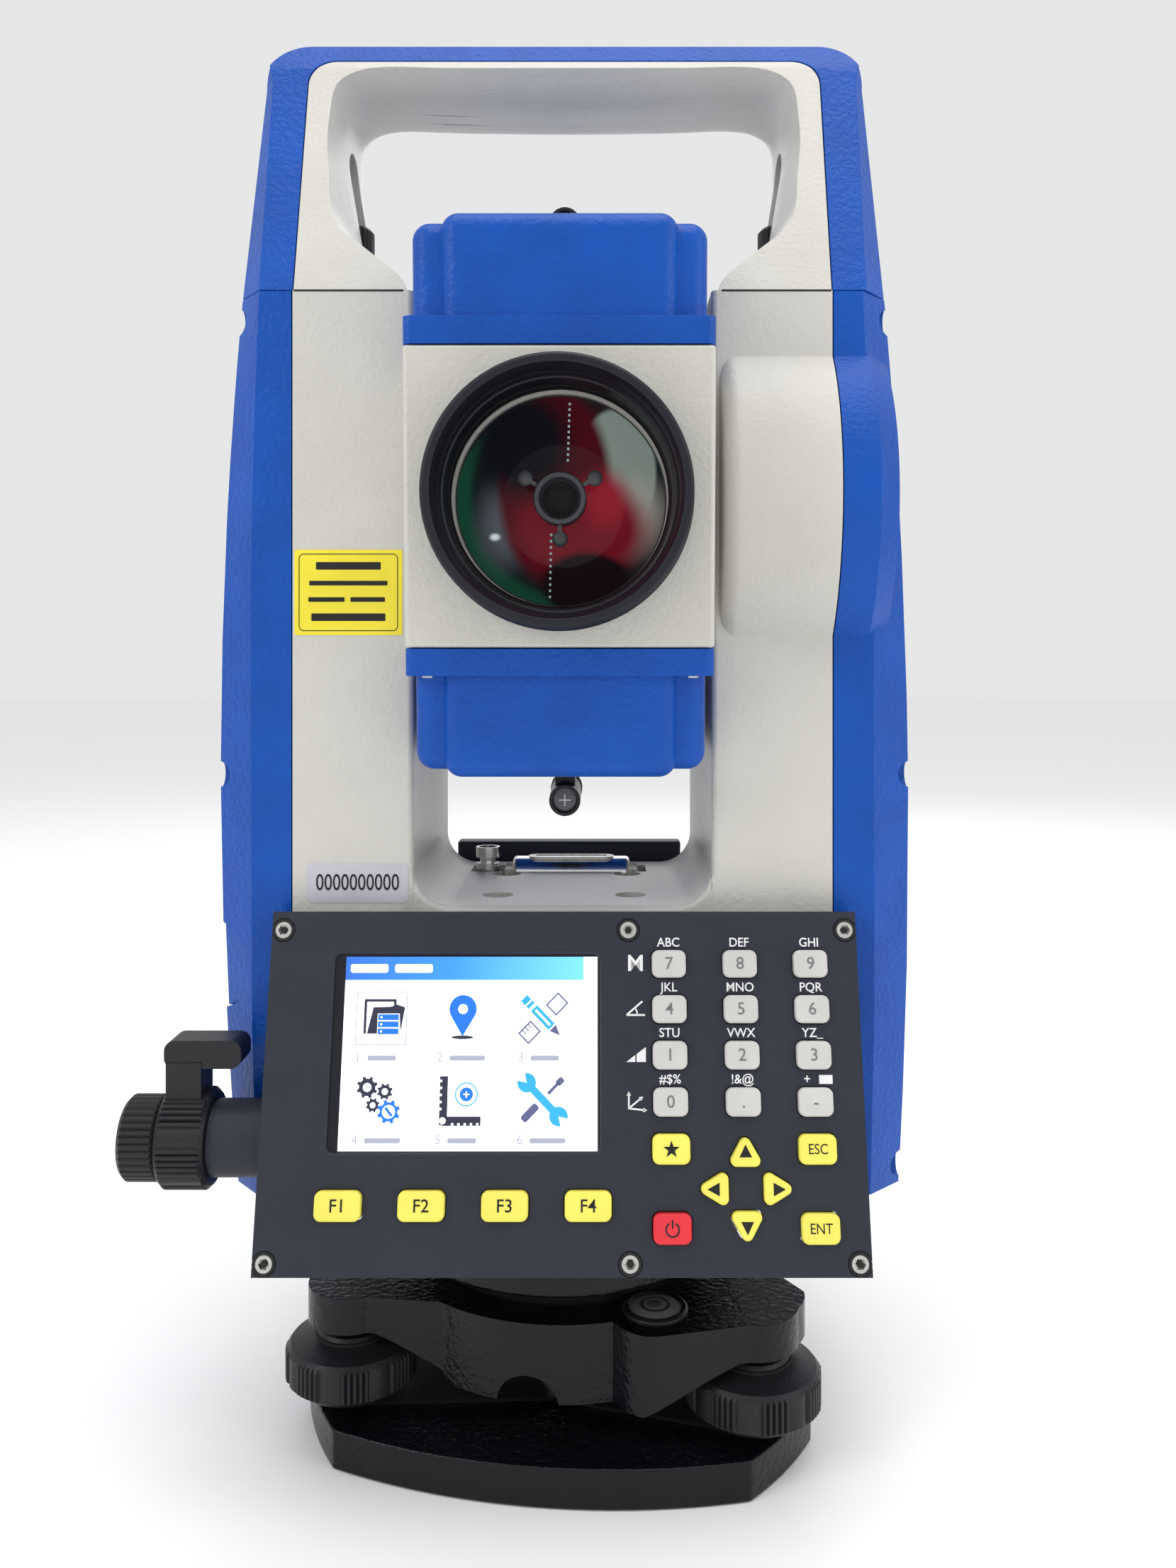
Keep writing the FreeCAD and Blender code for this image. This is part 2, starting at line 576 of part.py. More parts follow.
def panel_posts():
    """Corner posts behind the plate that the panel screws bite into."""
    posts = []
    for u in SCREW_COLUMNS:
        for v in SCREW_ROWS:
            tube = ring(3.2, 1.3, V(u, v, -7.4), V(u, v, -PANEL_PLATE))
            posts.append(place_on_panel(tube))
    keep = box((-67, 68), (-100, -HALF_DEPTH - 0.1), (0, 200))
    return [post.common(keep) for post in posts]


def front_panel():
    """Front housing with the sleeve of the horizontal clamp on its left end."""
    axis_point = V(0, CLAMP_AXIS_Y, CLAMP_AXIS_Z)
    sleeve = rod(SLEEVE_RADIUS, axis_point - V(62, 0, 0), axis_point + V(CLAMP_X + 0.2, 0, 0))
    stub = rod(6, axis_point - V(79, 0, 0), axis_point + V(CLAMP_X - 11, 0, 0))
    bore = rod(4 + RUNNING, axis_point - V(50, 0, 0), axis_point - V(100, 0, 0))
    panel = fuse(panel_housing(), sleeve, stub, *panel_posts())
    return panel.cut(bore)


def rear_panel():
    return to_rear(fuse(panel_housing(), *panel_posts()))


def display():
    u0, u1, v0, v1 = WINDOW
    glass = rounded_block((u0 + u1) / 2, (v0 + v1) / 2, u1 - u0 - 0.4, v1 - v0 - 0.4, -4.2, -0.8, 1.2)
    return place_on_panel(glass)


def displays():
    return Part.makeCompound([display(), to_rear(display())])


def rear_keys():
    return Part.makeCompound([to_rear(key(entry)) for entry in key_table().values()])


def socket_screw(head_radius, head_height, shank_radius, shank_length, socket_radius):
    """Cap screw along +Z, underside of the head at zero, with a hexagon socket."""
    head = rod(head_radius, V(0, 0, 0), V(0, 0, head_height))
    shank = rod(shank_radius, V(0, 0, -shank_length), V(0, 0, 0))
    corners = [around(socket_radius, 60 * corner, head_height * 0.4) for corner in range(6)]
    return fuse(head, shank).cut(prism(corners, V(0, 0, head_height)))


def case_screws():
    """All cap screws of the two panels and of the two side covers."""
    screws = []
    for turn in (0, 180):
        for u in SCREW_COLUMNS:
            for v in SCREW_ROWS:
                screw = socket_screw(2.3, 1.5, 1.2, 5.6, 1.2)
                screw.translate(V(u, v, -1.45))
                place = FreeCAD.Placement(PANEL_CENTRE, FreeCAD.Rotation(X_AXIS, PANEL_TILT))
                screw.Placement = place.multiply(screw.Placement)
                screw.rotate(V(0, 0, 0), Z_AXIS, turn)
                screws.append(screw)
    for side in (-1, 1):
        for y, z in screw_spots():
            screw = socket_screw(2.8, 2.0, 1.6, 9, 1.6)
            direction = V(side, 0, 0)
            at = V(side * (screw_seat(side, z) + 0.1), y, z)
            screw.Placement = FreeCAD.Placement(at, FreeCAD.Rotation(Z_AXIS, direction))
            screws.append(screw)
    return Part.makeCompound(screws)


# ---------------------------------------------------------------- clamps and tangent screws

def clamp_ring(base, axis, lever_up):
    """Ribbed clamp ring with a thumb lever; base is the ring's inner face."""
    rim = [(6 + RUNNING, 0), (CLAMP_RADIUS - 1, 0), (CLAMP_RADIUS, 1)]
    rim += [(CLAMP_RADIUS, 10), (CLAMP_RADIUS - 1, 11), (6 + RUNNING, 11)]
    body = ribbed_knob(rim, base, axis, CLAMP_RADIUS, 0.6, 6, 5, 0.62)
    side = lever_up.cross(axis)
    start = base + lever_up * 9.4 + axis * 2
    outline = [start - side * 4.5, start + side * 4.5]
    web = prism([outline[0], outline[1], outline[1] + axis * 8, outline[0] + axis * 8], lever_up * 9)
    tip_base = base + lever_up * 17 - axis * 7
    tip = [tip_base - side * 4.2, tip_base + side * 4.2]
    bar = prism([tip[0], tip[1], tip[1] + axis * 17.5, tip[0] + axis * 17.5], lever_up * 6.4)
    bar = rounded_edges(bar, 2.4, runs_along(side))
    return fuse(body, web, bar)


def tangent_knob(base, axis, shaft_length):
    """Knurled slow-motion knob with its shaft; base is the knob's inner face."""
    rim = [(0, 0), (TANGENT_RADIUS - 0.8, 0), (TANGENT_RADIUS, 0.8), (TANGENT_RADIUS, 7.6)]
    rim += [(TANGENT_RADIUS - 1, 8.6), (5.5, 8.6), (5, 8.1), (0, 8.1)]
    knob = ribbed_knob(rim, base, axis, TANGENT_RADIUS, 0.45, 1, 36, 1.0)
    shaft = rod(4, base - axis * shaft_length, base + axis)
    return fuse(knob, shaft)


def horizontal_clamp_ring():
    return clamp_ring(V(CLAMP_X, CLAMP_AXIS_Y, CLAMP_AXIS_Z), V(-1, 0, 0), Z_AXIS)


def horizontal_tangent_knob():
    return tangent_knob(V(CLAMP_X - 11.3, CLAMP_AXIS_Y, CLAMP_AXIS_Z), V(-1, 0, 0), 40)


def vertical_clamp_ring():
    return clamp_ring(V(V_CLAMP_X, HALF_DEPTH + 8.2, V_CLAMP_Z), Y_AXIS, Z_AXIS)


def vertical_tangent_knob():
    return tangent_knob(V(V_CLAMP_X, HALF_DEPTH + 19.6, V_CLAMP_Z), Y_AXIS, 34)


# ---------------------------------------------------------------- handle

def handle_outline():
    """Outer U of the handle in the XZ plane, with bowed sides and rounded shoulders."""
    foot = V(78.2, 0, JOINT_Z)
    bow = V(76.3, 0, 309)
    shoulder = V(75.2, 0, 335)
    corner = V(72.6, 0, 343.4)
    crown = V(64.5, 0, HANDLE_TOP)

    def flip(p):
        return V(-p.x, 0, p.z)

    edges = [Part.Arc(foot, bow, shoulder).toShape(), Part.Arc(shoulder, corner, crown).toShape()]
    edges.append(Part.makeLine(crown, flip(crown)))
    edges.append(Part.Arc(flip(crown), flip(corner), flip(shoulder)).toShape())
    edges.append(Part.Arc(flip(shoulder), flip(bow), flip(foot)).toShape())
    edges.append(Part.makeLine(flip(foot), foot))
    return Part.Face(Part.Wire(edges))


def opening_section(y, spread, lift):
    """The finger gap at depth y; its legs move out by spread and its top up by lift."""
    foot = [(37, 273.7), (37.05, 277), (37.6, 280.2), (39.4, 282.8), (44, 286.8), (49, 291)]
    leg = [(51.8 + spread / 2, 295), (53 + spread, 300), (54.5 + spread, 309)]
    leg += [(56 + spread, 318), (56.4 + spread, 325 + lift / 2)]
    top = [(55.5 + spread / 2, 330 + lift), (52, 333.2 + lift), (46, 334.6 + lift)]
    top += [(34, 334.4 + lift), (18, 334.0 + lift)]
    right = foot + leg + top
    left = [(-x, z) for x, z in reversed(right)]
    points = [V(x, y, z) for x, z in right + [(0, 333.8 + lift)] + left]
    curve = Part.BSplineCurve()
    curve.interpolate(points)
    return Part.Wire([curve.toShape(), Part.makeLine(points[-1], points[0])])


def handle_opening():
    """Finger gap whose mouth widens to both sides, so that grip and legs are well rounded."""
    mouth = [(8, 0.1, 0.7), (13, 0.4, 2.4), (17, 0.9, 4.6), (20.5, 1.5, 7.0), (28, 2.8, 8.2), (40, 5, 9)]
    depths = [(-y, spread, lift) for y, spread, lift in reversed(mouth)] + [(0, 0, 0)] + mouth
    return Part.makeLoft([opening_section(*depth) for depth in depths], True, False)


def handle_depth(z):
    """Half depth of the handle: it narrows towards the grip and again at the crown."""
    if z < HANDLE_CORE_TOP - 2:
        return HALF_DEPTH - 17.5 * (z - JOINT_Z) / (HANDLE_CORE_TOP - 2 - JOINT_Z)
    return 18.5 - 4 * (z - HANDLE_CORE_TOP + 2) / (HANDLE_TOP - HANDLE_CORE_TOP + 2)


def handle_slope():
    """Side view of the handle."""
    levels = (JOINT_Z, HANDLE_CORE_TOP - 2, HANDLE_TOP)
    front = [V(-100, -handle_depth(z), z) for z in levels]
    back = [V(-100, handle_depth(z), z) for z in reversed(levels)]
    return prism(front + back, V(200, 0, 0))


def handle_chamfer(side, face):
    """Wedge that cuts the chamfer off one corner of the handle, running out at the shoulder."""
    sections = []
    for z, facet in ((JOINT_Z - 1, 72.2), (335, 72.9), (HANDLE_TOP + 0.5, 76)):
        depth = handle_depth(z)
        corners = [(facet, depth), (facet + 30, depth), (facet + 30, depth - 39)]
        corners[1:1] = [(facet, depth + 9), (facet + 30, depth + 9)]
        points = [V(side * x, face * y, z) for x, y in corners]
        sections.append(Part.makePolygon(points + points[:1]))
    return Part.makeLoft(sections, True, True)


def handle_core(gap):
    core = box((-TRIM_INSIDE - gap, TRIM_INSIDE + gap), (-60, 60), (JOINT_Z - 5, HANDLE_CORE_TOP + gap))

    def top_edge(edge):
        return runs_along(Y_AXIS)(edge) and edge.BoundBox.ZMin > HANDLE_CORE_TOP - 1

    return rounded_edges(core, 7, top_edge)


def handle_blank():
    outer = handle_outline()
    outer.translate(V(0, -60, 0))
    return outer.extrude(V(0, 120, 0)).common(handle_slope()).cut(handle_opening())


def handle():
    body = handle_blank().common(handle_core(0))
    for side in (-1, 1):
        at = V(side * HANDLE_SCREW_X, 0, 0)
        reach = sorted((side * 40, side * 63.6))
        slot = box(reach, (-7.2, 7.2), (292, 318))
        arch = rod(7.2, V(side * 40, 0, 318), V(side * 63.6, 0, 318))
        hole = rod(2.5 + RUNNING, at + V(0, 0, JOINT_Z - 1), at + V(0, 0, 293))
        body = body.cut(slot.fuse(arch)).cut(hole)
    return body.removeSplitter()


def handle_trim():
    """Outer skin of the handle, over both legs and the top."""
    trim = handle_blank().cut(handle_core(0.25))
    for side in (-1, 1):
        for face in (-1, 1):
            trim = trim.cut(handle_chamfer(side, face))
    return trim.removeSplitter()


def handle_screw(side):
    """Captive hand screw that holds one leg of the handle."""
    at = V(side * HANDLE_SCREW_X, 0, 292.2)
    rim = [(0, 0), (5.4, 0), (6, 0.8), (6, 12), (5.2, 13), (0, 13)]
    head = ribbed_knob(rim, at, Z_AXIS, 6, 0.4, 1, 28, 1.0)
    head = head.cut(box((at.x - 4.5, at.x + 4.5), (-0.8, 0.8), (304, 306)))
    shank = rod(2.5, V(at.x, 0, JOINT_Z - 12), at + V(0, 0, 1))
    return fuse(head, shank)


# ---------------------------------------------------------------- telescope

def dipped(shape):
    """Turn a level part about the trunnion axis into its rest position."""
    shape.rotate(TRUNNION, X_AXIS, DIP)
    return shape


def on_axis(y, z=0):
    return V(0, y, TRUNNION_Z + z)


def scope_box(xs, ys, zs):
    return box(xs, ys, (TRUNNION_Z + zs[0], TRUNNION_Z + zs[1]))


def telescope_body():
    side = SCOPE_SIDE - 0.2
    block = scope_box((-SCOPE_HALF, SCOPE_HALF), (SCOPE_FRONT, SCOPE_REAR), (-side, side))
    block = rounded_edges(block, 1.2, runs_along(Z_AXIS))
    rear = fuse(rod(23, on_axis(SCOPE_REAR - 1), on_axis(47)), rod(19, on_axis(46), on_axis(64)),
                rod(13, on_axis(63), on_axis(68)), rod(9, on_axis(67), on_axis(80)))
    left = rod(TRUNNION_RADIUS, V(-55, 0, TRUNNION_Z), V(-SCOPE_HALF, 0, TRUNNION_Z))
    right = rod(TRUNNION_RADIUS, V(SCOPE_HALF, 0, TRUNNION_Z), V(55, 0, TRUNNION_Z))
    body = fuse(block, rear)
    body = body.cut(rod(26.0, on_axis(SCOPE_FRONT - 1), on_axis(-50)))
    body = body.cut(rod(24.0, on_axis(-51), on_axis(-24)))
    body = body.cut(rod(15, on_axis(-25), on_axis(30)))
    body = body.cut(rod(6, on_axis(20), on_axis(90)))
    circle = ring(37, TRUNNION_RADIUS, V(49, 0, TRUNNION_Z), V(51, 0, TRUNNION_Z))
    return dipped(Part.makeCompound([body, left, right, circle]))


def scope_cover(direction):
    """Cap over (1) or under (-1) the telescope, with set-back corner pillars."""
    def span(low, high):
        return sorted((direction * low, direction * high))

    flange = scope_box((-SCOPE_HALF, SCOPE_HALF), (SCOPE_FRONT, SCOPE_REAR), span(SCOPE_SIDE, 39))
    flange = rounded_edges(flange, 2, runs_along(Z_AXIS))
    shoulder = scope_box((-32.6, 32.6), (SCOPE_FRONT + 4.5, SCOPE_REAR - 4.5), span(38, 60.6))
    shoulder = rounded_edges(shoulder, 4, lambda edge: outermost(edge, direction))
    block = scope_box((-26, 26), (SCOPE_FRONT + 1.6, SCOPE_REAR - 1.6), span(38, CAP_TOP))
    block = rounded_edges(block, 4, lambda edge: outermost(edge, direction))
    hollow = scope_box((-28, 28), (SCOPE_FRONT + 8, SCOPE_REAR - 8), span(SCOPE_SIDE - 1, 56))
    return fuse(flange, shoulder, block).cut(hollow)


def outermost(edge, direction):
    """True for edges of a cap that don't lie against its flange."""
    height = (edge.BoundBox.ZMin + edge.BoundBox.ZMax) / 2 - TRUNNION_Z
    return direction * height > 45


def telescope_covers():
    return dipped(Part.makeCompound([scope_cover(1), scope_cover(-1)]))


def objective_hood():
    """Black lens hood: a barrel with a lip and two inner baffles."""
    profile = [(24.6, -10), (25.9, -10), (25.9, 0), (29, 0), (29, 5.4), (28.6, 6), (HOOD_RADIUS, 6.4)]
    profile += [(HOOD_RADIUS, 17.4), (HOOD_RADIUS - 0.6, 18), (26.1, 18), (25.4, 15.6)]
    profile += [(25.4, 11), (25.0, 10.6), (25.0, 6), (24.6, 5.6)]
    return dipped(turned(profile, on_axis(SCOPE_FRONT), V(0, -1, 0)))


def objective_lens():
    """Cemented objective, bulged at the front."""
    edge_front = V(0, -4, LENS_RADIUS)
    rim = [edge_front, V(0, 0, LENS_RADIUS), V(0, 2, 0), V(0, -6.2, 0)]
    bulge = Part.Arc(rim[3], V(0, -5.7, LENS_RADIUS / 2), rim[0]).toShape()
    lines = [Part.makeLine(rim[i], rim[i + 1]) for i in range(3)]
    lens = Part.Face(Part.Wire([bulge] + lines)).revolve(V(0, 0, 0), Y_AXIS, 360)
    lens.translate(on_axis(-52))
    return dipped(lens)


def sights():
    """Collimator sights on saddle brackets, one over and one under the telescope."""
    parts = []
    for direction, front in ((1, SIGHT_FRONT[0]), (-1, SIGHT_FRONT[1])):
        tube_z = direction * 73.6
        tube = ring(4, 3.1, on_axis(front, tube_z), on_axis(front + 1.5, tube_z))
        barrel = rod(4, on_axis(front + 1.5, tube_z), on_axis(front + 27, tube_z))
        low, high = sorted((direction * CAP_TOP, direction * 71))
        saddle = scope_box((-2.6, 2.6), (front + 5, front + 23), (low, high))
        low, high = sorted((direction * CAP_TOP, direction * 64.5))
        foot = scope_box((-6.5, 6.5), (front + 5, front + 23), (low, high))
        parts.append(fuse(tube, barrel, saddle, foot))
    return dipped(Part.makeCompound(parts))


def focus_ring():
    rim = [(19 + RUNNING, 0), (23.4, 0), (24, 1), (24, 13), (23, 14.5), (19 + RUNNING, 14.5)]
    return dipped(ribbed_knob(rim, on_axis(48), Y_AXIS, 24, 0.6, 12, 4, 0.62))


def eyepiece():
    rim = [(9 + RUNNING, 0), (12.4, 0), (13, 0.8), (13, 8), (12, 9.4), (11.4, 18), (8.5, 20)]
    rim += [(7, 19), (7, 14), (9 + RUNNING, 13)]
    return dipped(ribbed_knob(rim, on_axis(68.4), Y_AXIS, 13, 0.4, 1, 40, 1.0))


# ---------------------------------------------------------------- writing the nodes

def all_parts():
    parts = {
        "base_plate": base_plate(),
        "footscrew_right": footscrew(0, True),
        "footscrew_rear": footscrew(1, False),
        "footscrew_left": footscrew(2, True),
        "footscrew_ball": Part.makeSphere(BALL_RADIUS, footscrew_point(1, BALL_Z)),
        "tribrach_body": tribrach_body(),
        "circular_level": circular_level(),
        "tribrach_lock_knob": tribrach_lock_knob(),
        "centring_flange": centring_flange(),
        "alidade_base": alidade_base(),
        "yoke": yoke(),
        "plate_level": plate_level(),
        "side_cover_right": right_cover(),
        "side_cover_left": left_cover(),
        "battery": battery(),
        "battery_latch": battery_latch(),
        "front_panel": front_panel(),
        "rear_panel": rear_panel(),
        "displays": displays(),
        "rear_keys": rear_keys(),
        "case_screws": case_screws(),
        "horizontal_clamp_ring": horizontal_clamp_ring(),
        "horizontal_tangent_knob": horizontal_tangent_knob(),
        "vertical_clamp_ring": vertical_clamp_ring(),
        "vertical_tangent_knob": vertical_tangent_knob(),
        "handle": handle(),
        "handle_trim": handle_trim(),
        "handle_screw_left": handle_screw(-1),
        "handle_screw_right": handle_screw(1),
        "telescope_body": telescope_body(),
        "telescope_covers": telescope_covers(),
        "objective_hood": objective_hood(),
        "objective_lens": objective_lens(),
        "sights": sights(),
        "focus_ring": focus_ring(),
        "eyepiece": eyepiece(),
    }
    for name, entry in key_table().items():
        parts[name] = key(entry)
    return parts


os.makedirs("parts", exist_ok=True)
for name, shape in all_parts().items():
    shape.exportStep(f"parts/{name}.step")
    volume = shape.Volume / 1000
    print(f"{name}: solids {len(shape.Solids)}, volume {volume:.1f} cm3, valid {shape.isValid()}")
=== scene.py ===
import json
import math

import bmesh
import bpy
from mathutils import Matrix, Vector


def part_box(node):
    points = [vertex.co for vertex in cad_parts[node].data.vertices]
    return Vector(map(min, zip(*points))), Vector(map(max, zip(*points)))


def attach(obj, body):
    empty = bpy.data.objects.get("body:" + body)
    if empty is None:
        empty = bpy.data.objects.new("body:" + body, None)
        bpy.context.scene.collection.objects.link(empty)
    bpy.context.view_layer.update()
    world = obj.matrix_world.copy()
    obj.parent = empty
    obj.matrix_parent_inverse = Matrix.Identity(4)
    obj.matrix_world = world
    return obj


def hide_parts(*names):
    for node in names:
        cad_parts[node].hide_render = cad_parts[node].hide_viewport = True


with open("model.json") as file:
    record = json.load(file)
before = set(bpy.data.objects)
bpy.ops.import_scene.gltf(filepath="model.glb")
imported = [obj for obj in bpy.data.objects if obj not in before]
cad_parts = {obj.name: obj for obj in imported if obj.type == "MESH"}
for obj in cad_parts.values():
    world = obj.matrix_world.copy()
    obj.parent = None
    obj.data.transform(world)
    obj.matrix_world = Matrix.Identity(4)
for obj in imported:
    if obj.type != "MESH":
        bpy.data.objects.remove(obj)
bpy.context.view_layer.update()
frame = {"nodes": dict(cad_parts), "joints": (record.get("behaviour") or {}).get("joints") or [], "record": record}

# Surveying total station. Metres, in the CAD model's frame: +Z up, the objective faces -Y.
# Small shapes are drawn in millimetres on a local plane and placed by a matrix, so MM scales them.

MM = 0.001
NODES = frame["nodes"]
JOINTS = {joint["name"]: joint for joint in frame["joints"]}

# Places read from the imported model
TRUNNION = Vector(JOINTS["telescope_turn"]["pos_m"])
SIGHT_LINE = Vector(JOINTS["focus_turn"]["axis"])          # towards the objective
PANEL_NORMAL = -Vector(JOINTS["key_5_press"]["axis"])      # out of the front keypad
PLATE_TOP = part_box("base_plate")[1].z
CASTING_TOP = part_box("tribrach_body")[1].z
FLOOR_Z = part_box("plate_level")[0].z + 7.5 * MM            # floor between the standards
STANDARD_FRONT = -36 * MM                                  # flat front face of the standards

# Keypad: the panel's own plane, origin at its middle
PANEL_TILT = math.atan2(PANEL_NORMAL.z, -PANEL_NORMAL.y)
PANEL_MIDDLE = Vector((0.6, -53.7, 94.65)) * MM
PANEL = Matrix.Translation(PANEL_MIDDLE) @ Matrix.Rotation(math.pi / 2 - PANEL_TILT, 4, "X")
HALF_TURN = Matrix.Rotation(math.pi, 4, "Z")
SCOPE = Matrix.Translation(TRUNNION) @ Matrix.Rotation(math.atan2(-SIGHT_LINE.z, -SIGHT_LINE.y), 4, "X")
# The painted reflections on the objective's glass are centred at this height.
LENS_MIDDLE = SCOPE @ Vector((0, -65 * MM, 0))             # the objective's sheens are centred on it


# ---------------------------------------------------------------- materials

def shader_of(material):
    return material.node_tree.nodes["Principled BSDF"]


def shader_colour(material):
    return tuple(shader_of(material).inputs["Base Color"].default_value)[:3]


def feed(material, output, *sockets):
    """Links an output to inputs of the material's main shader."""
    for socket in sockets:
        material.node_tree.links.new(output, shader_of(material).inputs[socket])


def new_material(name, colour, roughness, metallic=0.0):
    material = bpy.data.materials.new(name)
    material.use_nodes = True
    shader = shader_of(material)
    shader.inputs["Base Color"].default_value = (*colour, 1)
    shader.inputs["Roughness"].default_value = roughness
    shader.inputs["Metallic"].default_value = metallic
    return material


def add_node(material, kind, inputs, **settings):
    """A shader node; each input takes a value, or a link when it is given another node's output."""
    tree = material.node_tree
    node = tree.nodes.new("ShaderNode" + kind)
    for key, value in settings.items():
        setattr(node, key, value)
    for socket, value in inputs.items():
        if isinstance(value, bpy.types.NodeSocket):
            tree.links.new(value, node.inputs[socket])
        else:
            node.inputs[socket].default_value = value
    return node


def mix(material, factor, below, colour):
    """Lays a colour over an output by a factor; the mix node's colour sockets are numbers 6 and 7."""
    inputs = {"Factor": factor, 6: below, 7: (*colour, 1)}
    return add_node(material, "Mix", inputs, data_type="RGBA").outputs[2]


def texture_point(material):
    """The object's own coordinates; one node serves the whole material."""
    found = material.node_tree.nodes.get("place")
    if found is None:
        found = add_node(material, "TexCoord", {}, name="place")
    return found.outputs["Object"]


def noise(material, scale, detail):
    """Noise over the object's own coordinates; scale is in waves per metre."""
    inputs = {"Vector": texture_point(material), "Scale": scale, "Detail": detail}
    return add_node(material, "TexNoise", inputs).outputs["Fac"]


def ramp(material, value, stops):
    """Colour ramp through (position, colour) stops."""
    node = add_node(material, "ValToRGB", {"Fac": value})
    band = node.color_ramp
    while len(band.elements) < len(stops):
        band.elements.new(0.5)
    for element, (position, colour) in zip(band.elements, stops):
        element.position = position
        element.color = (*colour, 1)
    return node.outputs["Color"]


def mottle(material, colour, scale, spread):
    """Slow colour drift about the base colour."""
    dark = [c * (1 - spread) for c in colour]
    light = [min(1, c * (1 + spread)) for c in colour]
    drift = ramp(material, noise(material, scale, 4), [(0.3, dark), (0.7, light)])
    feed(material, drift, "Base Color")


def uneven_gloss(material, scale, low, high):
    """Roughness that wanders between low and high."""
    inputs = {"Value": noise(material, scale, 3), "To Min": low, "To Max": high}
    feed(material, add_node(material, "MapRange", inputs).outputs["Result"], "Roughness")


def bump(material, *layers):
    """Relief from (waves per metre, height in metres, detail) layers of noise."""
    below = {}
    for scale, height, detail in layers:
        inputs = {"Distance": height, "Height": noise(material, scale, detail), **below}
        normal = add_node(material, "Bump", inputs).outputs["Normal"]
        below = {"Normal": normal}
    feed(material, normal, "Normal")


def structure_paint(name, colour, drift, shine, waves=900, height=0.00016):
    """Sprayed paint with a fine orange-peel relief."""
    paint = new_material(name, colour, 0.4)
    mottle(paint, colour, 60, drift)
    uneven_gloss(paint, 300, 0.32, 0.44)
    bump(paint, (waves, height, 2.0), (waves * 3, height * 0.25, 1.0))
    shader_of(paint).inputs["Specular IOR Level"].default_value = shine
    return paint


def moulded(name, colour, roughness, waves=2600, height=0.00006):
    """Fine-grained moulded plastic or rubber; dark kinds reflect less."""
    plastic = new_material(name, colour, roughness)
    if max(colour) < 0.06:
        shader_of(plastic).inputs["Specular IOR Level"].default_value = 0.3
    mottle(plastic, colour, 90, 0.06)
    uneven_gloss(plastic, 500, roughness - 0.06, roughness + 0.06)
    bump(plastic, (waves, height, 2.0))
    return plastic


def wrinkle_paint():
    """Glossy black wrinkle enamel of the tribrach."""
    black = (0.003, 0.003, 0.005)
    enamel = new_material("wrinkle_enamel", black, 0.3)
    mottle(enamel, black, 120, 0.3)
    uneven_gloss(enamel, 700, 0.16, 0.32)
    bump(enamel, (620, 0.0003, 2.5), (1900, 0.00008, 2.0))
    shader_of(enamel).inputs["Specular IOR Level"].default_value = 0.28
    return enamel


def machined(name, colour, roughness):
    """Machined metal with faint tool marks."""
    metal = new_material(name, colour, roughness, 1.0)
    mottle(metal, colour, 400, 0.08)
    uneven_gloss(metal, 1500, roughness - 0.08, roughness + 0.1)
    bump(metal, (4000, 0.00002, 2.0))
    return metal


def lit(name, colour, strength):
    """A surface that glows by itself, as the screen picture does and as the painted glints on the objective do."""
    glow = new_material(name, colour, 0.35)
    mottle(glow, colour, 30, 0.02)
    shader_of(glow).inputs["Emission Color"].default_value = (*colour, 1)
    shader_of(glow).inputs["Emission Strength"].default_value = strength
    return glow


def header_glow():
    """Title bar of the screen picture, deep blue to sky blue across its width."""
    bar = lit("screen_header", (0.1, 0.4, 0.9), 0.75)
    across = add_node(bar, "SeparateXYZ", {"Vector": texture_point(bar)}).outputs["X"]
    span = add_node(bar, "MapRange", {"Value": across, "From Min": -0.050, "From Max": 0.008})
    stops = [(0.0, (0.02, 0.11, 0.62)), (0.45, (0.03, 0.22, 0.85)), (1.0, (0.14, 0.52, 0.88))]
    feed(bar, ramp(bar, span.outputs["Result"], stops), "Base Color", "Emission Color")
    return bar


def painted_reflection_spot(material, below, middle, radii, colour, blur):
    """Paints an oval of painted reflection over a colour: middle and radii in millimetres on the objective's face.
    """
    (x, z), (width, height) = middle, radii
    place = add_node(material, "Mapping", {
        "Vector": texture_point(material),
        "Location": (-x / width, 0, -(z + LENS_MIDDLE.z / MM) / height),
        "Scale": (1 / (width * MM), 0, 1 / (height * MM)),
    })
    reach = add_node(material, "VectorMath", {0: place.outputs["Vector"]}, operation="LENGTH")
    inputs = {"Value": reach.outputs["Value"], "From Min": 1 + blur, "From Max": 1 - blur}
    edge = add_node(material, "MapRange", inputs, interpolation_type="SMOOTHSTEP")
    return mix(material, edge.outputs["Result"], below, colour)


